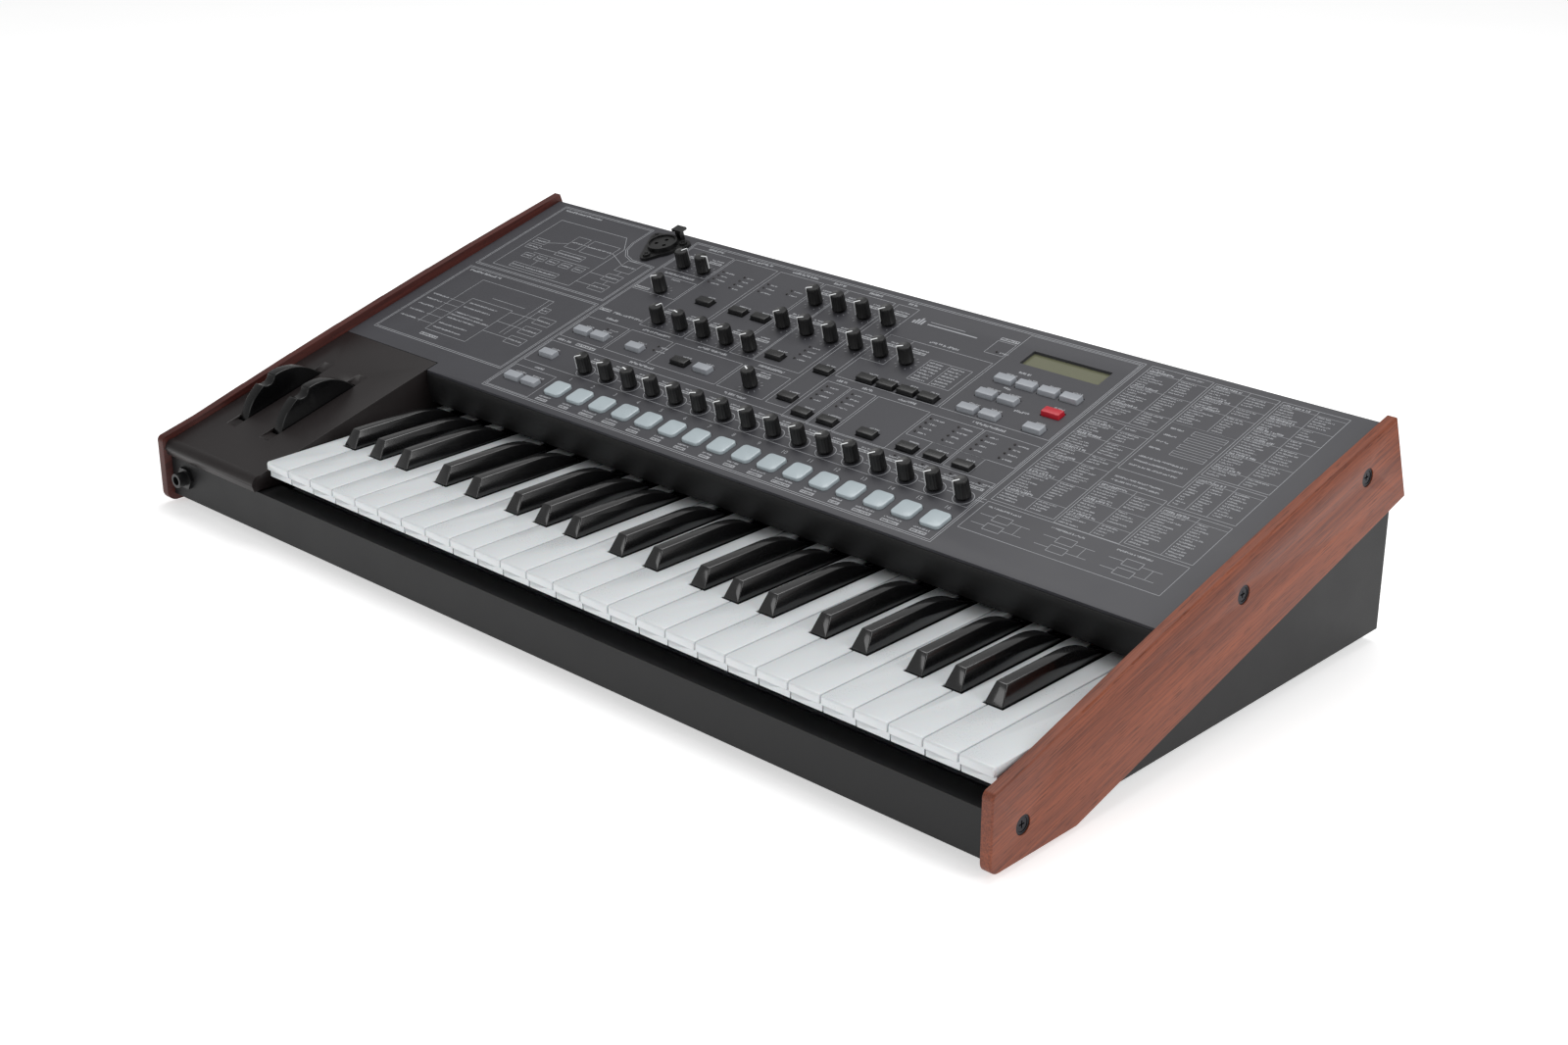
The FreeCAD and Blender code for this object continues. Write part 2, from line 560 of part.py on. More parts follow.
def circuit_boards():
    """Panel board with a small switch under every button, and the main board on posts."""
    panel_board = box(-205, 205, 9, 214, BOARD_H - 1.6, BOARD_H)
    solids = [on_panel(panel_board)]
    for x, s in GREY_BUTTONS + RED_BUTTON + BLACK_BUTTONS + STEP_BUTTONS:
        solids.append(on_panel(box(x - 3, x + 3, s - 3, s + 3, BOARD_H, BOARD_H + 2.0)))
    main = box(-180, 320, 235, 355, 16, 17.6)
    solids.append(main)
    for x in (-170, 70, 310):
        for y in (245, 345):
            solids.append(Part.makeCylinder(3, 16 - FLOOR_Z, V(x, y, FLOOR_Z)))
    return solids


def display_module():
    """Window under the panel's opening, and the display behind it."""
    window = box(DISPLAY_X - 33, DISPLAY_X + 33, DISPLAY_S - 10, DISPLAY_S + 10, -3.5, -PANEL_T)
    module = box(DISPLAY_X - 40, DISPLAY_X + 40, DISPLAY_S - 17, DISPLAY_S + 17, -9.8, -3.5)
    return [on_panel(window), on_panel(module)]


# ---- sockets ---------------------------------------------------------------------------------

def jack(mouth, inward, bush_len, wall_at, across):
    """Quarter-inch jack: body, threaded bush with a blind bore, and a hexagonal nut.

    mouth is the bush's open end, inward the axis into the body, wall_at the distance from the
    mouth to the outer face of the wall that the nut clamps."""
    bush = Part.makeCylinder(JACK_BUSH_R, bush_len, mouth, inward)
    start = mouth + inward * bush_len
    corner = V(-7.5, -7.5, 0)
    body = Part.makeBox(15, 15, 20, corner)
    body.Placement = FreeCAD.Placement(start, FreeCAD.Rotation(Z_AXIS, inward))
    solid = bush.fuse(body).cut(Part.makeCylinder(JACK_R, JACK_DEPTH, mouth, inward))
    nut = hexagon(across, 2.6, mouth + inward * (wall_at - 2.6), inward)
    nut = nut.cut(Part.makeCylinder(JACK_BUSH_R, 30, mouth, inward))
    return [solid.removeSplitter(), nut]


def din_socket(x):
    """Round five-hole socket."""
    face = CHASSIS_REAR + 1.5
    centre = V(x, face, SOCKET_Z)
    inward = V(0, -1, 0)
    shell = Part.makeCylinder(8.2, 20, centre, inward)
    shell = shell.cut(Part.makeCylinder(7.0, 9, centre, inward))
    insert = Part.makeCylinder(6.0, 9.5, centre + V(0, -0.5, 0), inward)
    body = shell.fuse(insert)
    for k in range(5):
        angle = math.radians(45 * k)
        hole = centre + V(3.9 * math.cos(angle), 0, 3.9 * math.sin(angle))
        body = body.cut(Part.makeCylinder(0.8, 7, hole, inward))
    return body.removeSplitter()


def sockets():
    """Headphone jack in the front rail, and everything on the rear wall."""
    inner_front = CHASSIS_FRONT + SHEET
    solids = jack(V(PHONES_X, -PHONES_PROUD, PHONES_Z), Y_AXIS, inner_front + PHONES_PROUD,
                  CHASSIS_FRONT + PHONES_PROUD, 14.0)
    inward = V(0, -1, 0)
    for x in LINE_JACK_XS:
        solids += jack(V(x, DEPTH - 0.8, SOCKET_Z), inward, DEPTH - 0.8 - (CHASSIS_REAR - SHEET),
                       DEPTH - 0.8 - CHASSIS_REAR, 13.0)
    solids += [din_socket(x) for x in DIN_XS]
    mouth = V(POWER_INLET_X, CHASSIS_REAR + 0.8, SOCKET_Z)
    inlet = Part.makeCylinder(5.5, 16, mouth, inward).cut(Part.makeCylinder(3.0, 10, mouth, inward))
    pin = Part.makeCylinder(1.0, 9.5, mouth + V(0, -1, 0), inward)
    solids.append(inlet.fuse(pin).removeSplitter())
    x = POWER_SWITCH_X
    frame = box(x - 6.5, x + 6.5, 366, CHASSIS_REAR + 1.0, SOCKET_Z - 9.5, SOCKET_Z + 9.5)
    frame = frame.cut(box(x - 5, x + 5, 376, 390, SOCKET_Z - 8, SOCKET_Z + 8))
    rocker = prism_x([(378, SOCKET_Z - 7.7), (385.4, SOCKET_Z - 7.7), (383.0, SOCKET_Z),
                      (383.4, SOCKET_Z + 7.7), (378, SOCKET_Z + 7.7)], x - 4.8, x + 4.8)
    rocker = rocker.fuse(box(x - 4, x + 4, 376, 378, SOCKET_Z - 5, SOCKET_Z + 5))
    return solids + [frame, rocker.removeSplitter()]


def mic_socket():
    """Three-hole round socket on a three-cornered flange, with screws and a release tab."""
    corner_places = [(-237.8, 212.2), (-224.3, 187.6), (-209.9, 212.0)]
    corner_r = 5.2
    plate_h = 2.2
    pads = [Part.makeCylinder(corner_r, plate_h, V(x, s, 0)) for x, s in corner_places]
    plate = Part.makeCylinder(14.0, plate_h, V(MIC_X, MIC_S, 0)).fuse(pads)
    for (xa, sa), (xb, sb) in zip(corner_places, corner_places[1:] + corner_places[:1]):
        along = V(xb - xa, sb - sa, 0)
        side = V(-along.y, along.x, 0).normalize() * corner_r
        a, b = V(xa, sa, 0), V(xb, sb, 0)
        quad = [a + side, b + side, b - side, a - side, a + side]
        plate = plate.fuse(Part.Face(Part.makePolygon(quad)).extrude(V(0, 0, plate_h)))
    barrel = Part.makeCylinder(11.4, 20 + 5.4, V(MIC_X, MIC_S, -20))
    body = plate.fuse(barrel)
    body = body.cut(Part.makeCylinder(10.0, 10, V(MIC_X, MIC_S, 4.2)))
    for k in range(3):
        angle = math.radians(90 + 120 * k)
        hole = V(MIC_X + 4.6 * math.cos(angle), MIC_S + 4.6 * math.sin(angle), -8)
        body = body.cut(Part.makeCylinder(1.5, 20, hole))
    solids = []
    for x, s in corner_places:
        body = body.cut(Part.makeCylinder(1.5, 6, V(x, s, -1)))
        head = Part.makeCylinder(2.9, 1.5, V(x, s, plate_h))
        head = head.fuse(Part.makeCylinder(1.4, 2.2, V(x, s, 0)))
        head = head.cut(box(x - 0.4, x + 0.4, s - 2, s + 2, plate_h + 0.9, plate_h + 2))
        head = head.cut(box(x - 2, x + 2, s - 0.4, s + 0.4, plate_h + 0.9, plate_h + 2))
        solids.append(on_panel(head.removeSplitter()))
    tab_x, tab_s = MIC_X + 3.5, MIC_S + 15.0
    post = box(tab_x - 2.5, tab_x + 2.5, tab_s - 2.0, tab_s + 2.0, 0, 7.4)
    pad = box(tab_x - 4.5, tab_x + 4.5, tab_s - 3.0, tab_s + 4.0, 7.4, 9.2)
    lever = post.fuse(pad).removeSplitter()
    body = body.cut(box(tab_x - 2.8, tab_x + 2.8, tab_s - 2.3, tab_s + 2.3, -1, 6))
    return [on_panel(body.removeSplitter()), on_panel(lever)] + solids


def rubber_feet():
    feet = []
    for x in (-320, 320):
        for y in (60, 350):
            foot = Part.makeCone(8.5, 10.0, CHASSIS_Z + FOOT_DROP, V(x, y, -FOOT_DROP))
            feet.append(foot)
    return feet


# ---- build -----------------------------------------------------------------------------------

os.makedirs("parts", exist_ok=True)

save("left_wood_cheek", cheek(-1))
save("right_wood_cheek", cheek(1))
save("cheek_screws", cheek_screws())
save("bottom_chassis", bottom_chassis())
save("control_panel", control_panel())
save("wheel_block", wheel_block())
save("fallboard", fallboard())
save("keybed_frame", keybed_frame())
save("white_keys_a", [white_key(i) for i in range(0, WHITE_COUNT, 2)])
save("white_keys_b", [white_key(i) for i in range(1, WHITE_COUNT, 2)])
BLACK_CENTRES = [x for _, x in sharps()]
save("black_keys_a", [black_key(x) for x in BLACK_CENTRES[0::2]])
save("black_keys_b", [black_key(x) for x in BLACK_CENTRES[1::2]])
for wheel_name, wheel_x in WHEEL_XS.items():
    save(wheel_name, wheel(wheel_x))
save("wheel_bracket", wheel_bracket())
for knob_name, knob_x, knob_s, knob_angle in KNOBS:
    save(knob_name, knob(knob_x, knob_s, knob_angle))
save("potentiometers", potentiometers())
save("step_buttons", [button(x, s, STEP_SIZE, STEP_SIZE, 3.2, STEP_TOP) for x, s in STEP_BUTTONS])
save("grey_buttons", small_buttons(GREY_BUTTONS))
save("black_buttons", small_buttons(BLACK_BUTTONS))
save("red_button", small_buttons(RED_BUTTON))
save("circuit_boards", circuit_boards())
save("display_module", display_module())
save("sockets", sockets())
save("mic_socket", mic_socket())
save("rubber_feet", rubber_feet())
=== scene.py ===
import json
import math
import random

import bmesh
import bpy
from mathutils import Matrix, Vector


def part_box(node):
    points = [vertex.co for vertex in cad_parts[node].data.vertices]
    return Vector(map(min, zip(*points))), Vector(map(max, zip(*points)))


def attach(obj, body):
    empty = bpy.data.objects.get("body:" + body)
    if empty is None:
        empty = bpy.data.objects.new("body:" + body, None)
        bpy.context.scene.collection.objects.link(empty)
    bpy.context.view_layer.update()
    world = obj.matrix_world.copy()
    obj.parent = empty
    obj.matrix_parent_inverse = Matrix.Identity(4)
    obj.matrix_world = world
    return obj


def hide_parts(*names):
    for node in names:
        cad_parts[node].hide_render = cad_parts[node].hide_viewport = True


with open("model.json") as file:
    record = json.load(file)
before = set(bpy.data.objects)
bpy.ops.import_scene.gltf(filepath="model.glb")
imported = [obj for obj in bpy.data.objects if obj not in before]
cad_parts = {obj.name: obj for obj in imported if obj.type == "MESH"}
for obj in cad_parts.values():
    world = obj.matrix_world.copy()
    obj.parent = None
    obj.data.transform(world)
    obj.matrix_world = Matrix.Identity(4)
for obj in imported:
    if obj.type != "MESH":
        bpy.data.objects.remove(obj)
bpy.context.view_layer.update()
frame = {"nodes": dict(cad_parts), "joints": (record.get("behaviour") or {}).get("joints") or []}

bl_info = {
    "name": "Synthesizer finish",
    "version": (1, 0, 0),
    "blender": (4, 5, 0),
    "location": "3D View > Sidebar > Synthesizer",
    "description": "Finishes for a keyboard synthesizer with a sloped panel and wooden cheeks",
    "category": "Object",
}

SEED = 11

# The panel's own frame: x along the keyboard, s up the slope from the front edge, h out of the panel, in mm.
PANEL_EDGE_Z = 0.086
PANEL_UP = Vector(next(j for j in frame["joints"] if j["child"] == "knob_cutoff")["axis"]).normalized()
PANEL_ALONG = PANEL_UP.cross(Vector((1, 0, 0)))
PANEL_EDGE_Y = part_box("control_panel")[0].y
MM = Matrix.Scale(0.001, 4)
PANEL = Matrix((
    (1, 0, 0, 0),
    (0, PANEL_ALONG.y, PANEL_UP.y, PANEL_EDGE_Y),
    (0, PANEL_ALONG.z, PANEL_UP.z, PANEL_EDGE_Z),
    (0, 0, 0, 1),
)) @ MM

INK_LOW = -0.02
INK_HIGH = 0.03
MARK_HIGH = 0.06
FLANGE = 0.6
CAP_FOOT = -3.0
TOP_TOLERANCE = 1e-4
WELD = 2e-6
KNOB_FOOT = 1.2
KNOB_TOP = 13.2
SMOOTH_ANGLE = math.radians(38)


def srgb(red, green, blue):
    """Linear colour from 0..255 display values."""
    def linear(value):
        value /= 255
        return value / 12.92 if value <= 0.04045 else ((value + 0.055) / 1.055) ** 2.4
    return (linear(red), linear(green), linear(blue), 1.0)


def chosen(colour):
    """Linear colour of a colour property."""
    return srgb(*(255 * value for value in colour))


# ---------------------------------------------------------------- shader nodes

class Signal:
    """A socket that takes part in arithmetic."""

    def __init__(self, tree, socket):
        self.tree = tree
        self.socket = socket

    def math(self, operation, first, second):
        node = self.tree.nodes.new("ShaderNodeMath")
        node.operation = operation
        for socket, value in zip(node.inputs, (first, second)):
            if isinstance(value, Signal):
                self.tree.links.new(value.socket, socket)
            else:
                socket.default_value = value
        return Signal(self.tree, node.outputs[0])

    def __add__(self, other):
        return self.math("ADD", self, other)

    def __sub__(self, other):
        return self.math("SUBTRACT", self, other)

    def __rsub__(self, other):
        return self.math("SUBTRACT", other, self)

    def __mul__(self, other):
        return self.math("MULTIPLY", self, other)

    __radd__ = __add__
    __rmul__ = __mul__


class Paint:
    """One material and the nodes that vary it over the surface."""

    def __init__(self, name, **constants):
        self.material = bpy.data.materials.new(name)
        self.material.use_nodes = True
        self.tree = self.material.node_tree
        self.shader = self.tree.nodes["Principled BSDF"]
        for socket, value in constants.items():
            self.shader.inputs[socket.replace("_", " ")].default_value = value
        self.place = self.add("TexCoord", out="Object")

    def add(self, kind, settings=(), out=0, **inputs):
        node = self.tree.nodes.new("ShaderNode" + kind)
        for name, value in dict(settings).items():
            if name == "stops":
                ramp = node.color_ramp.elements
                ramp[0].position, ramp[0].color = value[0]
                ramp[1].position, ramp[1].color = value[-1]
                for position, colour in value[1:-1]:
                    ramp.new(position).color = colour
            else:
                setattr(node, name, value)
        for name, value in inputs.items():
            socket = node.inputs[int(name[1:])] if name[1:].isdigit() else node.inputs[name.replace("_", " ")]
            if isinstance(value, Signal):
                self.tree.links.new(value.socket, socket)
            else:
                socket.default_value = value
        return Signal(self.tree, node.outputs[out])

    def noise(self, scale, stretch=(1, 1, 1), detail=3.0, turn=(0, 0, 0)):
        """Noise stretched along axes that are first turned by the given angles."""
        place = self.add("Mapping", Vector=self.place, Rotation=turn)
        place = self.add("Mapping", Vector=place, Scale=stretch)
        return self.add("TexNoise", Vector=place, Scale=scale, Detail=detail)

    def ramp(self, signal, *stops):
        return self.add("ValToRGB", {"stops": stops}, Fac=signal)

    def mix(self, factor, first, second, blend="MIX"):
        settings = {"data_type": "RGBA", "blend_type": blend}
        return self.add("Mix", settings, out=2, _0=factor, _6=first, _7=second)

    def feed(self, socket, signal):
        self.tree.links.new(signal.socket, self.shader.inputs[socket])

    def bump(self, height, strength, distance):
        self.feed("Normal", self.add("Bump", Height=height, Strength=strength, Distance=distance))


def moulded(name, colour, rough, mottle=0.12, grain=2600, bump=0.12, **constants):
    """Moulded or sprayed surface: slight cloudiness, fine grain and uneven gloss."""
    paint = Paint(name, **constants)
    cloud = paint.noise(38)
    fine = paint.noise(grain, detail=2.0)
    darker = tuple(c * (1 - mottle) for c in colour[:3]) + (1.0,)
    lighter = tuple(min(1.0, c * (1 + mottle)) for c in colour[:3]) + (1.0,)
    paint.feed("Base Color", paint.ramp(cloud * 0.7 + fine * 0.3, (0.35, darker), (0.65, lighter)))
    paint.feed("Roughness", fine * 0.12 + cloud * 0.1 + (rough - 0.11))
    paint.bump(fine, bump, 0.0002)
    return paint.material


def metal(name, colour, rough, grain=(1, 1, 1)):
    """Bare or plated metal with fine brushing."""
    paint = Paint(name, Metallic=1.0)
    brushed = paint.noise(700, grain)
    darker = tuple(c * 0.85 for c in colour[:3]) + (1.0,)
    paint.feed("Base Color", paint.ramp(brushed, (0.3, darker), (0.7, colour)))
    paint.feed("Roughness", brushed * 0.2 + (rough - 0.1))
    paint.bump(brushed, 0.08, 0.0002)
    return paint.material


GRAIN_TILT = (-math.acos(PANEL_UP.z), 0, 0)


def oiled_wood(name, light, dark):
    """Straight-grained wood: soft bands, fine fibres and short dark pores along the slope of the cheek."""
    paint = Paint(name, Coat_Roughness=0.35, Specular_IOR_Level=0.35)
    band = paint.noise(75, (1.0, 0.04, 1.0), 4.0, GRAIN_TILT)
    fibre = paint.noise(900, (1.0, 0.02, 1.0), 3.0, GRAIN_TILT)
    pore = paint.noise(1700, (1.0, 0.045, 1.0), 2.0, GRAIN_TILT)
    middle = tuple((a + b) / 2 for a, b in zip(light, dark))
    grain = paint.ramp(band * 0.45 + fibre * 0.55, (0.32, dark), (0.48, middle), (0.64, light))
    pores = paint.ramp(pore, (0.33, (0.4, 0.36, 0.34, 1)), (0.43, (1, 1, 1, 1)))
    paint.feed("Base Color", paint.mix(0.8, grain, pores, "MULTIPLY"))
    paint.feed("Roughness", fibre * 0.2 + 0.42)
    paint.feed("Coat Weight", band * 0.1)
    paint.bump(fibre * 0.6 + pore * 0.4, 0.25, 0.0003)
    return paint.material


# ---------------------------------------------------------------- meshes

def finished(name, bm, materials, matrix=MM, body="body", replaces=(), closed=True):
    """Puts a bmesh into the row frame as a piece that rides on a body."""
    bm.transform(matrix)
    if closed:
        bmesh.ops.recalc_face_normals(bm, faces=bm.faces)
    mesh = bpy.data.meshes.new(name)
    bm.to_mesh(mesh)
    bm.free()
    for material in materials:
        mesh.materials.append(material)
    mesh.shade_smooth()
    mesh.set_sharp_from_angle(angle=SMOOTH_ANGLE)
    obj = bpy.data.objects.new(name, mesh)
    bpy.context.scene.collection.objects.link(obj)
    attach(obj, body)
    if replaces:
        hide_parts(*replaces)
    return obj


def softened_copy(name, node, material, width, body="body", segments=2, keep=None, angle=30):
    """A copy of a node with its outer edges rounded, which stands for the node."""
    bm = bmesh.new()
    bm.from_mesh(frame["nodes"][node].data)
    bmesh.ops.remove_doubles(bm, verts=bm.verts, dist=WELD)
    bmesh.ops.dissolve_limit(bm, angle_limit=math.radians(1), verts=bm.verts, edges=bm.edges)
    turn = math.radians(angle)
    edges = [
        edge for edge in bm.edges
        if edge.is_manifold and edge.calc_face_angle_signed() > turn and (keep is None or keep(edge))
    ]
    bmesh.ops.bevel(bm, geom=edges, offset=width / 1000, offset_type="OFFSET", segments=segments,
                    profile=0.5, affect="EDGES", material=-1, clamp_overlap=True)
    return finished(name, bm, [material], Matrix.Identity(4), body, (node,), closed=False)


def solids_on_panel(node):
    """Box of every separate solid of a node in panel millimetres, front row first, then left to right."""
    bm = bmesh.new()
    bm.from_mesh(frame["nodes"][node].data)
    bmesh.ops.remove_doubles(bm, verts=bm.verts, dist=WELD)
    bm.transform(PANEL.inverted())
    left = set(bm.verts)
    boxes = []
    while left:
        stack = [left.pop()]
        found = []
        while stack:
            vert = stack.pop()
            found.append(vert.co.copy())
            for edge in vert.link_edges:
                other = edge.other_vert(vert)
                if other in left:
                    left.remove(other)
                    stack.append(other)
        low = Vector([min(co[i] for co in found) for i in range(3)])
        high = Vector([max(co[i] for co in found) for i in range(3)])
        boxes.append((low, high))
    bm.free()
    return sorted(boxes, key=lambda b: (round(b[0].y), b[0].x))


def turned(bm, rings, segments, at=(0, 0, 0), flute=None):
    """Stacks circles of (radius, height) into a closed turned solid; flute(ring, k) scales a rim point."""
    loops = []
    for index, (radius, height) in enumerate(rings):
        place = Matrix.Translation((at[0], at[1], at[2] + height))
        verts = bmesh.ops.create_circle(bm, segments=segments, radius=radius, matrix=place)["verts"]
        if flute:
            for k, vert in enumerate(verts):
                factor = flute(index, k)
                vert.co.x = at[0] + (vert.co.x - at[0]) * factor
                vert.co.y = at[1] + (vert.co.y - at[1]) * factor
        loops.append(list({edge for vert in verts for edge in vert.link_edges}))
    faces = []
    for lower, upper in zip(loops, loops[1:]):
        faces += bmesh.ops.bridge_loops(bm, edges=lower + upper)["faces"]
    for end in (loops[0], loops[-1]):
        faces += bmesh.ops.contextual_create(bm, geom=end)["faces"]
    return faces


def block(bm, low, high, taper=(0, 0), corner=0.0, rim=0.0, segments=3):
    """A block whose top is smaller by taper on each side, with rounded corners and a rounded rim."""
    centre = [(a + b) / 2 for a, b in zip(low, high)]
    size = [b - a for a, b in zip(low, high)]
    place = Matrix.Translation(centre) @ Matrix.Diagonal((*size, 1))
    verts = bmesh.ops.create_cube(bm, size=1, matrix=place)["verts"]
    for vert in verts:
        if vert.co.z > centre[2]:
            vert.co.x += taper[0] if vert.co.x < centre[0] else -taper[0]
            vert.co.y += taper[1] if vert.co.y < centre[1] else -taper[1]
    if corner:
        edges = {e for v in verts for e in v.link_edges}
        upright = [e for e in edges if abs((e.verts[0].co - e.verts[1].co).z) > 0.5 * size[2]]
        made = bmesh.ops.bevel(bm, geom=upright, offset=corner, segments=segments, profile=0.5,
                               affect="EDGES", material=-1)
        verts = list({v for f in made["faces"] for v in f.verts} | {v for v in verts if v.is_valid})
    if rim:
        edges = {e for v in verts for e in v.link_edges}
        top = [e for e in edges if min(v.co.z for v in e.verts) > high[2] - TOP_TOLERANCE]
        bmesh.ops.bevel(bm, geom=top, offset=rim, segments=segments, profile=0.5, affect="EDGES", material=-1)


class Ink:
    """Screen printing as thin slabs on the panel, in panel millimetres."""

    def __init__(self, seed):
        self.bm = bmesh.new()
        self.dark = bmesh.new()
        self.draw = random.Random(seed)

    def slab(self, x0, x1, s0, s1, dark=False, low=INK_LOW, high=INK_HIGH):
        place = Matrix.Translation(((x0 + x1) / 2, (s0 + s1) / 2, (low + high) / 2))
        size = Matrix.Diagonal((abs(x1 - x0), abs(s1 - s0), high - low, 1))
        bmesh.ops.create_cube(self.dark if dark else self.bm, size=1, matrix=place @ size)

    def line(self, a, b, width=0.4):
        along = Vector((b[0] - a[0], b[1] - a[1], 0))
        centre = Vector(((a[0] + b[0]) / 2, (a[1] + b[1]) / 2, (INK_LOW + INK_HIGH) / 2))
        turn = Matrix.Rotation(math.atan2(along.y, along.x), 4, "Z")
        size = Matrix.Diagonal((along.length + width, width, INK_HIGH - INK_LOW, 1))
        bmesh.ops.create_cube(self.bm, size=1, matrix=Matrix.Translation(centre) @ turn @ size)

    def path(self, points, width=0.4, closed=True):
        ends = points[1:] + points[:1] if closed else points[1:]
        for a, b in zip(points, ends):
            self.line(a, b, width)

    def frame(self, x0, s0, x1, s1, width=0.4):
        self.path([(x0, s0), (x1, s0), (x1, s1), (x0, s1)], width)

    def double(self, x0, s0, x1, s1, gap=1.5):
        self.frame(x0, s0, x1, s1)
        self.frame(x0 + gap, s0 + gap, x1 - gap, s1 - gap)

    def ring(self, x, s, radius, width=0.45):
        section = ((-width / 2, INK_LOW), (width / 2, INK_LOW), (width / 2, INK_HIGH), (-width / 2, INK_HIGH))
        verts = [self.bm.verts.new((x + radius + dx, s, h)) for dx, h in section]
        edges = [self.bm.edges.new((verts[k], verts[(k + 1) % 4])) for k in range(4)]
        bmesh.ops.spin(self.bm, geom=verts + edges, cent=(x, s, 0), axis=(0, 0, 1), angle=math.tau,
                       steps=28, use_merge=True, use_normal_flip=False)

    def word(self, x, s, width, height=1.5, dark=False):
        """Abstract marks with the rhythm of small print: no mark is a letter."""
        low, high = (INK_HIGH, MARK_HIGH) if dark else (INK_LOW, INK_HIGH)
        end = x + width
        while x < end - 0.3:
            wide = min(self.draw.choice((0.45, 0.7, 0.95)) * height / 1.5, end - x)
            tall = height * self.draw.choice((0.62, 0.8, 1.0))
            base = s if self.draw.random() < 0.6 else s + height - tall
            self.slab(x, x + wide, base, base + tall, dark, low, high)
            x += wide + (0.32 if self.draw.random() < 0.85 else 0.9) * height / 1.5

    def centred(self, x, s, width, height=1.5):
        self.word(x - width / 2, s, width, height)

    def label(self, x0, x1, s, tall=2.9):
        """A filled block with dark marks on it."""
        self.slab(x0, x1, s, s + tall)
        self.word(x0 + 0.7, s + 0.6, x1 - x0 - 1.4, tall - 1.2, dark=True)

    def title(self, x0, x1, s):
        self.word(x0, s - 1.1, x1 - x0, 2.2)

    def done(self, name):
        colours = bpy.context.scene.synth_colours
        ink = moulded(name + "_ink", chosen(colours.print_light), 0.6, 0.05)
        finished(name, self.bm, [ink], PANEL)
        if self.dark.verts:
            ground = moulded(name + "_reversed_ink", srgb(52, 52, 54), 0.6, 0.05)
            finished(name + "_reversed", self.dark, [ground], PANEL)
        else:
            self.dark.free()


# ---------------------------------------------------------------- properties

def colour_property(name, description, red, green, blue):
    return bpy.props.FloatVectorProperty(name=name, description=description, subtype="COLOR_GAMMA", size=3,
                                         min=0, max=1, default=(red / 255, green / 255, blue / 255))


def length_property(name, description, millimetres):
    return bpy.props.FloatProperty(name=name, description=description, default=millimetres / 1000, min=0.0,
                                   subtype="DISTANCE", unit="LENGTH", precision=5)


class SynthColours(bpy.types.PropertyGroup):
    """Colours of the finishes."""
    panel: colour_property("Panel", "Sprayed top panel", 59, 59, 64)
    print_light: colour_property("Print", "Screen printing on the panel", 162, 164, 168)
    wood_light: colour_property("Wood, light", "Light bands of the cheeks", 143, 76, 50)
    wood_dark: colour_property("Wood, dark", "Dark streaks of the cheeks", 84, 38, 26)
    white_key: colour_property("White keys", "Moulded natural keys", 220, 224, 226)
    grey_button: colour_property("Grey buttons", "Small function buttons", 158, 162, 168)
    red_button: colour_property("Red button", "Record button", 190, 22, 42)
    step_button: colour_property("Step buttons", "Lit square buttons", 176, 188, 193)
    display: colour_property("Display", "Character display", 112, 113, 90)


class SynthSizes(bpy.types.PropertyGroup):
    """Sizes of the softened edges and small parts."""
    cheek_edge: length_property("Cheek edge", "Radius of the wooden edges", 1.3)
    key_edge: length_property("Key edge", "Radius of the white keys' edges", 0.55)
    sharp_edge: length_property("Black key edge", "Radius of the black keys' edges", 0.9)
    wheel_edge: length_property("Wheel edge", "Radius of the wheels' rims", 0.8)
    lamp_radius: length_property("Lamp radius", "Radius of the small lamps", 0.85)


class SynthStage(bpy.types.PropertyGroup):
    """Camera and light."""
    eye: bpy.props.FloatVectorProperty(name="Eye", description="Place of the camera", subtype="TRANSLATION",
                                       unit="LENGTH", default=(1.0012, -1.01435, 0.6292))
    target: bpy.props.FloatVectorProperty(name="Target", description="Point the camera looks at",
                                          subtype="TRANSLATION", unit="LENGTH",
                                          default=(0.0741, -0.03155, 0.0632))
    lens: bpy.props.FloatProperty(name="Lens", description="Focal length in millimetres", default=54.81,
                                  min=1.0)
    key_light: bpy.props.FloatProperty(name="Key light",
                                       description="Power of the large overhead light in watts",
                                       default=21.0, min=0.0)
    sky: bpy.props.FloatProperty(name="Surround", description="Brightness of the white surround",
                                 default=0.35, min=0.0)


# ---------------------------------------------------------------- pieces

def paint_nodes(material, *names):
    for name in names:
        mesh = frame["nodes"][name].data
        mesh.materials.clear()
        mesh.materials.append(material)


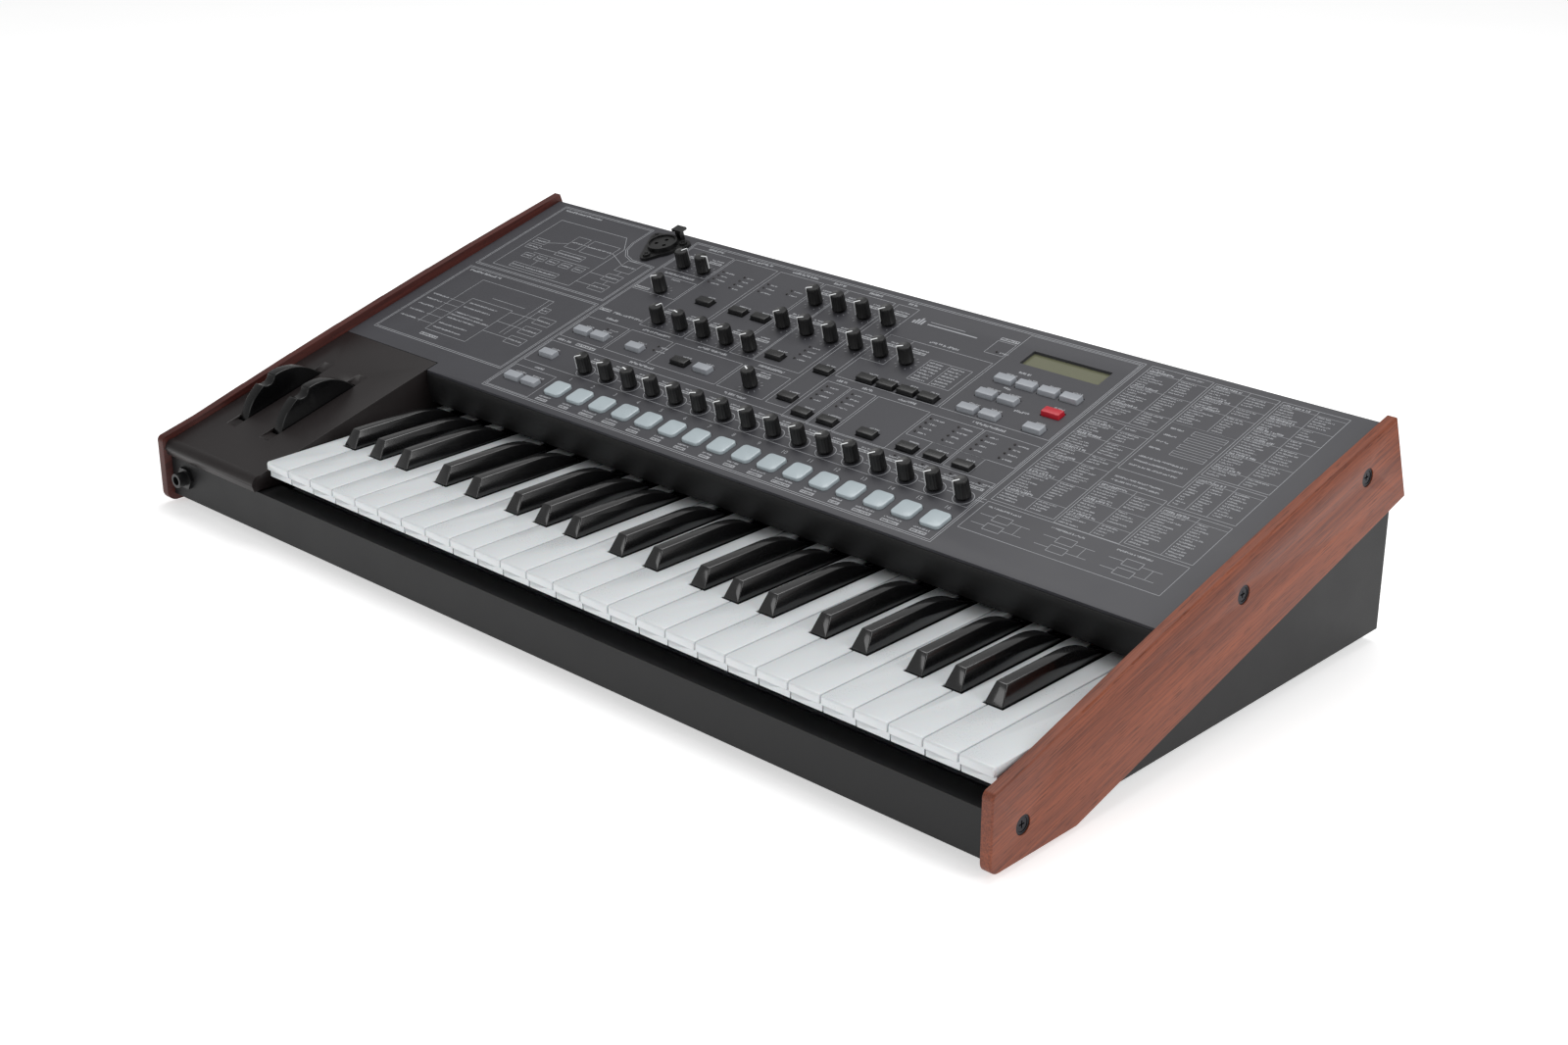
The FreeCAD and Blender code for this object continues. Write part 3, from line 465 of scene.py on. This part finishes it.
def make_cabinet(colours, sizes):
    light, dark = chosen(colours.wood_light), chosen(colours.wood_dark)
    for side, tone in (("left", (0.36, 0.24, 0.34, 1)), ("right", (1, 1, 1, 1))):
        toned = [tuple(a * b for a, b in zip(colour, tone)) for colour in (light, dark)]
        wood = oiled_wood(side + "_cheek_wood", *toned)
        softened_copy(side + "_cheek_board", side + "_wood_cheek", wood, sizes.cheek_edge * 1000,
                      segments=3, keep=lambda e: e.calc_length() > 0.0008)
    sprayed = moulded("panel_spray", chosen(colours.panel), 0.5, 0.06, 2400, 0.18)
    softened_copy("control_panel_sheet", "control_panel", sprayed, 0.7,
                  keep=lambda e: e.calc_length() > 0.15)
    block_finish = moulded("wheel_block_plastic", srgb(30, 25, 25), 0.4, 0.08, 1500, 0.2, Specular_IOR_Level=0.4)
    softened_copy("wheel_block_shell", "wheel_block", block_finish, 0.8,
                  keep=lambda e: e.calc_length() > 0.004)
    satin = moulded("chassis_enamel", srgb(20, 20, 21), 0.5, 0.08, 1800, 0.2, Specular_IOR_Level=0.3)
    paint_nodes(satin, "bottom_chassis")
    strip = moulded("fallboard_plastic", srgb(11, 11, 12), 0.55, bump=0.03)
    softened_copy("fallboard_strip", "fallboard", strip, 0.7,
                  keep=lambda e: e.calc_length() > 0.02)
    paint_nodes(metal("screw_blacking", srgb(50, 50, 54), 0.4), "cheek_screws")
    paint_nodes(metal("plated_steel", srgb(170, 172, 176), 0.35, (0.05, 1, 1)), "keybed_frame", "wheel_bracket")
    paint_nodes(metal("pot_plating", srgb(165, 165, 160), 0.32), "potentiometers")
    paint_nodes(moulded("circuit_lacquer", srgb(38, 92, 58), 0.35), "circuit_boards")
    paint_nodes(moulded("socket_plastic", srgb(18, 18, 19), 0.38), "sockets")
    paint_nodes(moulded("mic_satin", srgb(12, 12, 13), 0.36, 0.1, 3000, 0.2), "mic_socket")
    paint_nodes(moulded("foot_rubber", srgb(26, 26, 27), 0.75, 0.15, 900, 0.4), "rubber_feet")


KEY_PIVOT_CLEAR = 0.005
KEY_TOP_BAND = 0.0065


def make_keys(colours, sizes):
    white = moulded("white_key_plastic", chosen(colours.white_key), 0.3, 0.008, 1600, 0.02,
                    Coat_Weight=0.25, Coat_Roughness=0.12, Subsurface_Weight=0.05, Subsurface_Scale=0.002)
    black = moulded("black_key_plastic", srgb(5, 5, 6), 0.24, 0.1, 1700, 0.03, Coat_Weight=0.8,
                     Coat_Roughness=0.1)
    for kind, material, width in (("white", white, sizes.key_edge), ("black", black, sizes.sharp_edge)):
        for half in ("a", "b"):
            node = f"{kind}_keys_{half}"
            pivot = next(j for j in frame["joints"] if j["child"] == node)["pos_m"][1]
            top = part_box(node)[1].z
            band = KEY_TOP_BAND if kind == "white" else 2 * KEY_TOP_BAND

            def near_top(edge, top=top, pivot=pivot, band=band):
                return all(v.co.z > top - band and v.co.y < pivot - KEY_PIVOT_CLEAR for v in edge.verts)

            softened_copy(node + "_caps", node, material, width * 1000, body=node, keep=near_top,
                          segments=2)


def make_wheels(sizes):
    gloss = moulded("wheel_gloss", srgb(4, 4, 5), 0.3, 0.1, 2200, 0.02, Specular_IOR_Level=0.3, Coat_Weight=0.25,
                     Coat_Roughness=0.06)
    for name in ("pitch_wheel", "mod_wheel"):
        softened_copy(name + "_disc", name, gloss, sizes.wheel_edge * 1000, body=name, segments=3,
                      angle=50)


FLUTES = 18
KNOB_SEGMENTS = FLUTES * 4


def make_knob(bm, radius):
    """A fluted knob with a chamfered rim, a top painted lighter grey as a painted highlight, and a white pointer,
    standing on the panel's origin.
    """
    height = KNOB_TOP - KNOB_FOOT
    rings = [(0.965, 0), (1.0, 0.5), (1.0, 1.2), (0.975, 1.7), (0.93, height - 1.2), (0.9, height - 0.5),
             (0.84, height - 0.1), (0.79, height)]

    def flute(ring, k):
        depth = (0, 0, 0.0, 0.055, 0.06, 0.05, 0.0, 0)[ring]
        return 1 - depth * (k % 4 == 2) - depth * 0.55 * (k % 4 in (1, 3))

    faces = turned(bm, [(radius * r, KNOB_FOOT + h) for r, h in rings], KNOB_SEGMENTS, flute=flute)
    crown = max(faces, key=lambda f: f.calc_center_median().z)
    made = bmesh.ops.inset_region(bm, faces=[crown], thickness=0.25, depth=-0.12)
    # The crown takes the lighter top colour: a painted highlight where the flat top catches the light.
    crown.material_index = 1
    for face in made["faces"]:
        face.material_index = 0
    reach = radius * 0.93
    on_top = Matrix.Translation((0, reach / 2 + 0.2, KNOB_TOP - 0.1)) @ Matrix.Diagonal((1.0, reach - 0.6, 0.26, 1))
    pointer = bmesh.ops.create_cube(bm, size=1, matrix=on_top)["verts"]
    on_side = Matrix.Translation((0, radius * 0.925, KNOB_TOP - height * 0.42))
    on_side = on_side @ Matrix.Diagonal((1.0, 0.7, height * 0.78, 1))
    side = bmesh.ops.create_cube(bm, size=1, matrix=on_side)["verts"]
    for vert in side:
        if vert.co.z < KNOB_FOOT + height / 2:
            vert.co.y += radius * 0.055
    for vert in pointer + side:
        for face in vert.link_faces:
            face.material_index = 2


def make_knobs():
    black = moulded("knob_rubber", srgb(5, 5, 6), 0.42, 0.1, 1900, 0.1)
    # The knob tops get a lighter grey than the black bodies: a painted highlight where the flat tops catch the
    # overhead light.
    grey = moulded("knob_top_painted_highlight", srgb(22, 22, 23), 0.38, 0.08)
    white = moulded("pointer_white", srgb(238, 240, 241), 0.45, 0.03)
    for joint in frame["joints"]:
        name = joint["child"]
        if not name.startswith("knob_"):
            continue
        low, high = joint["range_deg"]
        spot = PANEL.inverted() @ Vector(joint["pos_m"])
        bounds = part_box(name)
        bm = bmesh.new()
        make_knob(bm, (bounds[1].x - bounds[0].x) * 500)
        rest = math.radians(-(low + high) / 2)
        place = Matrix.Translation((spot.x, spot.y, 0)) @ Matrix.Rotation(rest, 4, "Z")
        finished(name + "_cap", bm, [black, grey, white], PANEL @ place, name, (name,))


def make_buttons(colours):
    finishes = {
        "step_buttons": (chosen(colours.step_button), "step_clear"),
        "grey_buttons": (chosen(colours.grey_button), "button_grey"),
        "black_buttons": (srgb(15, 15, 16), "button_black"),
        "red_button": (chosen(colours.red_button), "button_red"),
    }
    for node, (colour, slot) in finishes.items():
        clear = node == "step_buttons"
        material = moulded(slot + "_plastic", colour, 0.3, 0.05, 2000, 0.06, Coat_Weight=0.4 if clear else 0.15,
                           Coat_Roughness=0.15, Subsurface_Weight=0.0)
        bm = bmesh.new()
        for low, high in solids_on_panel(node):
            bottom = (low.x + FLANGE, low.y + FLANGE, CAP_FOOT)
            top = (high.x - FLANGE, high.y - FLANGE, high.z)
            if clear:
                block(bm, bottom, top, (0.15, 0.15), 3.0, 0.7, 4)
            else:
                block(bm, bottom, top, (0.5, 0.7), 0.6, 0.45, 3)
        finished(node + "_caps", bm, [material], PANEL, node, (node,))


def make_display(colours):
    glass = Paint("display_glass", Roughness=0.18, Coat_Weight=0.6, Coat_Roughness=0.05)
    cell = glass.add("TexVoronoi", {"distance": "CHEBYCHEV", "feature": "F1"}, Vector=glass.place, Scale=330.0)
    olive = chosen(colours.display)
    shade = tuple(c * 0.86 for c in olive[:3]) + (1.0,)
    glass.feed("Base Color", glass.mix(cell * 0.35 + glass.noise(24) * 0.4, olive, shade))
    low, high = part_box("display_module")
    paint_nodes(glass.material, "display_module")
    paint = moulded("display_bezel", srgb(22, 22, 24), 0.4)
    centre = PANEL.inverted() @ ((low + high) / 2)
    bm = bmesh.new()
    half_x = 36.6
    half_s = 9.3
    wall = 1.0
    for x0, x1, s0, s1 in ((-half_x, half_x, half_s - wall, half_s), (-half_x, half_x, -half_s, -half_s + wall),
                           (-half_x, -half_x + wall, -half_s, half_s), (half_x - wall, half_x, -half_s, half_s)):
        block(bm, (centre.x + x0, centre.y + s0, -2.6), (centre.x + x1, centre.y + s1, -0.9), rim=0.2)
    finished("display_bezel", bm, [paint], PANEL)


LAMPS = (
    [(-153.5, s) for s in (195.5, 190.3, 185.0, 179.9)] + [(-132.7, s) for s in (195.5, 190.3, 185.0, 179.9)]
    + [(-109.3, s) for s in (195.5, 190.3, 185.0)] + [(-86.9, s) for s in (195.5, 190.3)]
    + [(-22.5, s) for s in (142.7, 137.6, 132.4, 127.1)]
    + [(x, s) for x in (22.4, 44.2, 109.8, 132.1, 154.4, 176.3) for s in (109.4, 104.3, 99.0, 93.6)]
    + [(x, 66.4) for x in (116.4, 138.4, 160.4, 182.5)] + [(97.7, 191.7)]
    + [(-174.5, s) for s in (98.5, 92.5, 86.5)] + [(-122.0, 97.0), (-122.0, 92.0)]
)


def make_lamps(sizes):
    lens = moulded("lamp_lens", srgb(34, 30, 31), 0.2, 0.1, 1500, 0.02, Coat_Weight=0.6, Coat_Roughness=0.05)
    radius = sizes.lamp_radius * 1000
    bm = bmesh.new()
    for x, s in LAMPS:
        dome = [(radius, -0.8), (radius, 0.25), (radius * 0.85, 0.6), (radius * 0.5, 0.85)]
        turned(bm, dome, 14, at=(x, s, 0))
    finished("lamps", bm, [lens], PANEL)


SECTIONS = (
    (-201.7, 181.7, -159.5, 213.3), (-201.7, 150, -159.5, 173.3), (-201.7, 77.7, -159.5, 105.5),
    (-201.7, 7.7, -160.3, 35.2), (-157.8, 113.5, -116.1, 213), (-113.1, 113.5, -72.1, 213), (-70, 113.5, -49.3, 213),
    (-48.1, 113.5, -6.4, 213), (-3.2, 77.3, 15, 213), (-157.3, 77.7, -116.4, 105.8), (-113.6, 77.7, -50.4, 105.8),
    (-48.1, 77.7, -6.7, 105.8), (18.1, 122.3, 104.2, 179.2), (18.1, 147, 38.5, 179.2), (63.9, 140.3, 98.8, 165.2),
    (89.6, 188.5, 104.5, 203.8), (106.1, 122.3, 191.9, 218), (18.1, 69, 38.1, 115), (39.6, 69, 59.9, 115),
    (61.9, 69, 104.5, 115), (106.5, 88.8, 148.4, 114.2), (128.1, 71.8, 148.4, 88.8), (149.9, 88.5, 191.9, 114.2),
    (149.9, 71.8, 170, 88.5), (-201.7, 42.6, 191.9, 70),
)
TITLES = (
    (-187.8, -172.8, 216.6), (-148.6, -124.3, 216.6), (-104.6, -80.3, 216.6), (-65.4, -54.3, 216.6),
    (-32.6, -21, 216.6), (2.7, 10.4, 216.6), (-195, -166, 177.2), (-187.8, -159.5, 117.7), (-187, -175.3, 109.7),
    (-150, -123.6, 109.7), (-95.7, -68.9, 109.7), (-38.9, -15.4, 109.7), (-199.5, -185.3, 73.6), (-126.7, -104, 73.6),
    (-36.9, -17.9, 73.6), (-185.3, -176.7, 38.5), (23.2, 31.9, 118.5), (45.3, 54.2, 118.5), (75.8, 90.1, 118.5),
    (136.2, 162.4, 118.5), (48.8, 73.5, 183), (126.5, 137.3, 178), (128.8, 135.3, 158.8), (151.6, 163.5, 140.6),
)
STEP_PITCH = 22.0
FIRST_STEP = -148.4
NUMBER_S = 36.2
NUMBER_SIZE = 4.8


def number_mesh(text):
    """A printed number as a mesh centred on the origin, in millimetres."""
    curve = bpy.data.curves.new("number", "FONT")
    curve.body = text
    curve.size = NUMBER_SIZE
    curve.align_x = "CENTER"
    curve.extrude = INK_HIGH
    curve.resolution_u = 3
    obj = bpy.data.objects.new("number", curve)
    bpy.context.scene.collection.objects.link(obj)
    depsgraph = bpy.context.evaluated_depsgraph_get()
    depsgraph.update()
    mesh = bpy.data.meshes.new_from_object(obj.evaluated_get(depsgraph), depsgraph=depsgraph)
    bpy.data.objects.remove(obj)
    return mesh


def label_controls(ink):
    """Small print by every knob and button."""
    for joint in frame["joints"]:
        if not joint["child"].startswith("knob_"):
            continue
        spot = PANEL.inverted() @ Vector(joint["pos_m"])
        if joint["child"].startswith("knob_row"):
            ink.ring(spot.x, spot.y, 6.7)
            ink.line((spot.x + 8, 51.6), (spot.x + 14, 51.6))
            ink.line((spot.x + 8, 54.4), (spot.x + 14, 54.4))
            ink.centred(spot.x - 1, spot.y + 14, ink.draw.uniform(7, 14), 1.4)
            ink.label(spot.x - 7, spot.x + 6, spot.y + 10.2, 2.6)
        else:
            ink.centred(spot.x - 1, spot.y + 15.6, ink.draw.uniform(8, 14), 1.5)
            if joint["child"] != "knob_main_volume":
                ink.label(spot.x - 7, spot.x + 5, spot.y + 11.6, 2.7)
            for k in range(11):
                angle = math.radians(240 - 30 * k)
                ray = Vector((math.cos(angle), math.sin(angle)))
                centre = Vector((spot.x, spot.y))
                ink.line(centre + ray * 7.0, centre + ray * 8.2, 0.3)
    for node in ("grey_buttons", "black_buttons", "red_button"):
        for low, high in solids_on_panel(node):
            ink.centred((low.x + high.x) / 2, high.y + 2.0, ink.draw.uniform(6, 11), 1.4)


def make_print():
    ink = Ink(SEED)
    ink.double(-204.3, 5.2, 194.6, 220.7)
    ink.double(-347.8, 25.5, -207.8, 121.3)
    outline = [(-347.8, 126), (-208.3, 126), (-208.3, 179), (-232, 180), (-241, 183.5), (-247.5, 190), (-250.3, 199),
               (-250.3, 221), (-347.8, 221)]
    ink.path(outline)
    ink.path([(-346.3, 127.5), (-209.8, 127.5), (-209.8, 177.6), (-232.5, 178.6), (-242, 182.2), (-248.8, 189.4),
              (-251.8, 198.6), (-251.8, 219.5), (-346.3, 219.5)])
    for x0, s0, x1, s1 in SECTIONS:
        ink.frame(x0, s0, x1, s1, 0.35)
    for x0, x1, s in TITLES:
        ink.title(x0, x1, s)
    for x0, x1, s in ((-202, -191.2, 116.4), (-180.7, -162, 72.2), (-202, -187.8, 151.6), (89.6, 104.5, 205.2)):
        ink.label(x0, x1, s)
    ink.line((81.5, 140.3), (81.5, 165.2), 0.3)
    for row in range(7):
        ink.word(65.4, 142 + 3.3 * row, 12)
        ink.word(83, 142 + 3.3 * row, 11)
    for x, s in LAMPS:
        ink.word(x + 2.6, s - 0.7, ink.draw.uniform(5, 9), 1.3)
    label_controls(ink)
    for step in range(16):
        x = FIRST_STEP + STEP_PITCH * step
        numeral = number_mesh(str(step + 1))
        numeral.transform(Matrix.Translation((x, NUMBER_S, 0)))
        ink.bm.from_mesh(numeral)
        bpy.data.meshes.remove(numeral)
        wide = ink.draw.uniform(8, 15)
        ink.centred(x, 12.6, wide, 1.4)
        ink.label(x - wide / 2, x + wide / 2, 8.6, 2.6)
    # A generic badge: three rising bars over a thin rule, in the free strip above the effects.
    for k, tall in enumerate((3.5, 5.5, 7.5, 5.5)):
        ink.slab(20 + 2.4 * k, 21.6 + 2.4 * k, 198, 198 + tall)
    ink.line((33, 200.2), (74, 200.2), 1.1)
    ink.line((33, 203.4), (62, 203.4), 0.5)
    ink.done("panel_print")


def make_diagrams():
    """Block diagrams of the signal path at the left of the panel."""
    ink = Ink(SEED + 1)
    ink.title(-342.8, -302.8, 216.5)
    ink.title(-342.8, -308.2, 116.7)
    ink.path([(-334, 131.3), (-250, 131.3), (-250, 188.8), (-262, 203.3), (-320.3, 203.3), (-334, 203.3)])
    boxes = [(-299.5, 173, -286.2, 189.3), (-282.3, 172.2, -254.5, 189.3), (-297.8, 161, -269.5, 167.7),
             (-319.5, 134.2, -269.5, 140.2), (-330.3, 168.8, -317, 175), (-330.3, 160.5, -317, 166.3),
             (-234.5, 163, -218.7, 178), (-234.5, 148.8, -218.7, 157.7), (-234.5, 134.7, -218.7, 143.5)]
    boxes += [(x, 148.8, x + 10, 154.7) for x in (-321.5, -308, -294.5, -280.5, -266)]
    boxes += [(-306.2, 39.7, -262, 86.3), (-235.3, 80.5, -218.7, 89.8), (-235.3, 66.3, -218.7, 75.5),
              (-235.3, 52.5, -218.7, 61.3), (-242.8, 93.8, -235, 100)]
    for x0, s0, x1, s1 in boxes:
        ink.frame(x0, s0, x1, s1, 0.35)
        ink.word(x0 + 1.2, (s0 + s1) / 2 - 0.7, max(2.5, x1 - x0 - 2.6), 1.4)
    links = [((-316, 157), (-255, 157)), ((-302, 142), (-302, 148)), ((-286.2, 181), (-282.3, 181)),
             ((-254.5, 181), (-234.5, 171)), ((-250, 153), (-234.5, 153)), ((-250, 139), (-234.5, 139)),
             ((-317, 172), (-299.5, 178)), ((-317, 163.5), (-297.8, 164)), ((-320.3, 109.3), (-242, 109.3)),
             ((-320.3, 109.3), (-320.3, 45)), ((-291, 92.7), (-256, 92.7)), ((-247, 59.7), (-247, 109.3)),
             ((-242.3, 59.7), (-242.3, 109.3)), ((-262, 84), (-235.3, 85)), ((-262, 71), (-235.3, 71)),
             ((-262, 57), (-235.3, 57)), ((-226.5, 143.5), (-226.5, 148.8)), ((-226.5, 157.7), (-226.5, 163))]
    for a, b in links:
        ink.line(a, b, 0.35)
    for s in (78, 71.5, 63.5, 55, 46):
        ink.word(-342, s, 17, 1.5)
        ink.line((-323, s + 0.7), (-306.2, s + 0.7), 0.3)
    for s in (80, 74, 66, 58, 50, 44):
        ink.word(-303, s, 30, 1.4)
    ink.label(-304.8, -286.2, 32.6)
    ink.done("diagrams")


ROW_PITCH = 2.62


def table(ink, x0, x1, low, top, dividers, headings):
    """A ruled box of rows of small print, with headings of larger marks over a rule."""
    ink.frame(x0, low, x1, top, 0.35)
    for divider in dividers:
        ink.line((divider, low), (divider, top), 0.3)
    starts = [x0, *dividers]
    ends = [*dividers, x1]
    s = top - 3.4
    while s > low + 1:
        heading = any(abs(s - place) < ROW_PITCH / 2 for place in headings)
        if heading:
            ink.word(x0 + 1.6, s, (x1 - x0) * 0.4, 1.9)
            ink.line((x0, s - 0.7), (x1, s - 0.7), 0.25)
        else:
            for start, end in zip(starts, ends):
                room = end - start - 3
                ink.word(start + 1.6, s, room * ink.draw.uniform(0.3, 0.8), 1.15)
        s -= ROW_PITCH


def make_tables():
    """Reference tables at the right of the panel."""
    columns = (
        ((199.3, 245.0, 159.4, 220.6, (224.3,), (213.6, 195, 174.3)),
         (199.3, 245.0, 56.6, 157.0, (224.3,), (150, 137.2, 121.2, 110.7, 89.7, 71))),
        ((246.9, 292.6, 172.6, 220.0, (271.9,), (216.6, 203, 192.7)),
         (246.9, 292.6, 54.4, 101.6, (271.9,), (98.4, 81.5, 65.8))),
        ((294.6, 340.7, 133.0, 220.0, (319.7,), (217.3, 200.7, 187, 177, 158.1, 142.3)),
         (294.6, 340.7, 98.7, 130.9, (306.4, 321.3), (127.7,)),
         (294.6, 340.7, 56.6, 95.9, (319.4,), (93.4,))),
    )
    for number, column in enumerate(columns):
        ink = Ink(SEED + 2 + number)
        for entry in column:
            table(ink, *entry)
        if number == 1:
            ink.frame(246.9, 117.3, 292.6, 172.6, 0.35)
            for s in (166, 158.5, 151, 143.5):
                ink.word(250.3, s, 9)
                ink.frame(265.7, s - 1.2, 289.3, s + 3.6, 0.3)
                ink.line((265.7, s + 1.2), (289.3, s + 1.2), 0.3)
            for s in (133, 128, 123, 109, 105):
                ink.word(250.3, s, 34)
        if number == 2:
            ink.frame(199.3, 24.9, 340.7, 54, 0.35)
            for k in range(3):
                left = 203 + 46 * k
                ink.word(left, 49, 24)
                ink.frame(left + 10, 30, left + 22, 36, 0.35)
                ink.frame(left + 10, 39, left + 22, 45, 0.35)
                for s in (33, 42):
                    ink.line((left, s), (left + 10, s), 0.3)
                    ink.line((left + 22, s), (left + 36, s), 0.3)
                ink.line((left + 30, 33), (left + 30, 42), 0.3)
        ink.done(f"reference_table_{number + 1}")


# ---------------------------------------------------------------- stage

def area_light(name, power, size, at, towards):
    light = bpy.data.lights.new(name, "AREA")
    light.shape = "RECTANGLE"
    light.size, light.size_y = size
    light.energy = power
    obj = bpy.data.objects.new(name, light)
    obj.location = at
    obj.rotation_euler = (Vector(towards) - Vector(at)).to_track_quat("-Z", "Y").to_euler()
    bpy.context.scene.collection.objects.link(obj)


def make_stage(settings):
    scene = bpy.context.scene
    world = bpy.data.worlds.new("white_surround")
    world.use_nodes = True
    background = world.node_tree.nodes["Background"]
    background.inputs["Color"].default_value = (1.0, 1.0, 1.0, 1.0)
    background.inputs["Strength"].default_value = settings.sky
    scene.world = world
    bm = bmesh.new()
    bmesh.ops.create_grid(bm, x_segments=1, y_segments=1, size=9.0)
    mesh = bpy.data.meshes.new("floor")
    bm.to_mesh(mesh)
    bm.free()
    floor = bpy.data.objects.new("floor", mesh)
    scene.collection.objects.link(floor)
    paint = Paint("floor_paper", Emission_Color=(1, 1, 1, 1), Emission_Strength=0.5, Roughness=0.9)
    shades = ((0.3, (0.9, 0.9, 0.9, 1)), (0.7, (0.93, 0.93, 0.93, 1)))
    paint.feed("Base Color", paint.ramp(paint.noise(3), *shades))
    mesh.materials.append(paint.material)
    area_light("overhead_light", settings.key_light, (1.8, 1.2), (-0.2, 0.5, 1.9), (0, 0, 0.08))
    area_light("side_light", settings.key_light * 0.5, (0.9, 1.4), (1.9, 0.2, 1.0), (0, 0, 0.1))
    area_light("front_light", settings.key_light * 0.35, (1.6, 0.8), (-0.3, -1.9, 1.0), (0, 0, 0.05))
    camera = bpy.data.cameras.new("camera")
    camera.lens = settings.lens
    camera.sensor_width = 36.0
    eye = bpy.data.objects.new("camera", camera)
    eye.location = settings.eye
    eye.rotation_euler = (Vector(settings.target) - Vector(settings.eye)).to_track_quat("-Z", "Y").to_euler()
    scene.collection.objects.link(eye)
    scene.camera = eye
    scene.view_settings.view_transform = "Standard"


# ---------------------------------------------------------------- operators

class SYNTH_OT_stage(bpy.types.Operator):
    """Floor, lights and camera"""
    bl_idname = "synth.stage"
    bl_label = "Stage"

    def execute(self, context):
        make_stage(context.scene.synth_stage)
        return {"FINISHED"}


class SYNTH_OT_cabinet(bpy.types.Operator):
    """Cheeks, panel sheet, wheel block, chassis and the parts inside"""
    bl_idname = "synth.cabinet"
    bl_label = "Cabinet"

    def execute(self, context):
        make_cabinet(context.scene.synth_colours, context.scene.synth_sizes)
        return {"FINISHED"}


class SYNTH_OT_keys(bpy.types.Operator):
    """Softened white and black keys"""
    bl_idname = "synth.keys"
    bl_label = "Keys"

    def execute(self, context):
        make_keys(context.scene.synth_colours, context.scene.synth_sizes)
        return {"FINISHED"}


class SYNTH_OT_wheels(bpy.types.Operator):
    """Glossy pitch and modulation wheels"""
    bl_idname = "synth.wheels"
    bl_label = "Wheels"

    def execute(self, context):
        make_wheels(context.scene.synth_sizes)
        return {"FINISHED"}


class SYNTH_OT_knobs(bpy.types.Operator):
    """Fluted knobs with tops painted lighter grey as a painted highlight, and white pointers"""
    bl_idname = "synth.knobs"
    bl_label = "Knobs"

    def execute(self, context):
        make_knobs()
        return {"FINISHED"}


class SYNTH_OT_buttons(bpy.types.Operator):
    """Square step buttons and small function buttons"""
    bl_idname = "synth.buttons"
    bl_label = "Buttons"

    def execute(self, context):
        make_buttons(context.scene.synth_colours)
        return {"FINISHED"}


class SYNTH_OT_display(bpy.types.Operator):
    """Character display and its bezel"""
    bl_idname = "synth.display"
    bl_label = "Display"

    def execute(self, context):
        make_display(context.scene.synth_colours)
        return {"FINISHED"}


class SYNTH_OT_lamps(bpy.types.Operator):
    """Small lamps beside the selectors"""
    bl_idname = "synth.lamps"
    bl_label = "Lamps"

    def execute(self, context):
        make_lamps(context.scene.synth_sizes)
        return {"FINISHED"}


class SYNTH_OT_print(bpy.types.Operator):
    """Frames, labels and numbers printed on the panel"""
    bl_idname = "synth.print"
    bl_label = "Panel print"

    def execute(self, context):
        make_print()
        return {"FINISHED"}


class SYNTH_OT_diagrams(bpy.types.Operator):
    """Block diagrams printed at the left"""
    bl_idname = "synth.diagrams"
    bl_label = "Diagrams"

    def execute(self, context):
        make_diagrams()
        return {"FINISHED"}


class SYNTH_OT_tables(bpy.types.Operator):
    """Reference tables printed at the right"""
    bl_idname = "synth.tables"
    bl_label = "Tables"

    def execute(self, context):
        make_tables()
        return {"FINISHED"}


STEPS = (SYNTH_OT_stage, SYNTH_OT_cabinet, SYNTH_OT_keys, SYNTH_OT_wheels, SYNTH_OT_knobs, SYNTH_OT_buttons,
         SYNTH_OT_display, SYNTH_OT_lamps, SYNTH_OT_print, SYNTH_OT_diagrams, SYNTH_OT_tables)


class SYNTH_PT_sidebar(bpy.types.Panel):
    """Lists the pieces and their settings"""
    bl_label = "Synthesizer"
    bl_idname = "SYNTH_PT_sidebar"
    bl_space_type = "VIEW_3D"
    bl_region_type = "UI"
    bl_category = "Synthesizer"

    def draw(self, context):
        for group in (context.scene.synth_colours, context.scene.synth_sizes, context.scene.synth_stage):
            for name in group.__annotations__:
                self.layout.prop(group, name)
        for step in STEPS:
            self.layout.operator(step.bl_idname)


GROUPS = {"synth_colours": SynthColours, "synth_sizes": SynthSizes, "synth_stage": SynthStage}


def register():
    for group in GROUPS.values():
        bpy.utils.register_class(group)
    for name, group in GROUPS.items():
        setattr(bpy.types.Scene, name, bpy.props.PointerProperty(type=group))
    for step in STEPS:
        bpy.utils.register_class(step)
    bpy.utils.register_class(SYNTH_PT_sidebar)


def unregister():
    bpy.utils.unregister_class(SYNTH_PT_sidebar)
    for step in reversed(STEPS):
        bpy.utils.unregister_class(step)
    for name, group in GROUPS.items():
        delattr(bpy.types.Scene, name)
        bpy.utils.unregister_class(group)


def main():
    register()
    for step in STEPS:
        getattr(bpy.ops.synth, step.bl_idname.split(".")[1])()


if __name__ == "__main__":
    main()
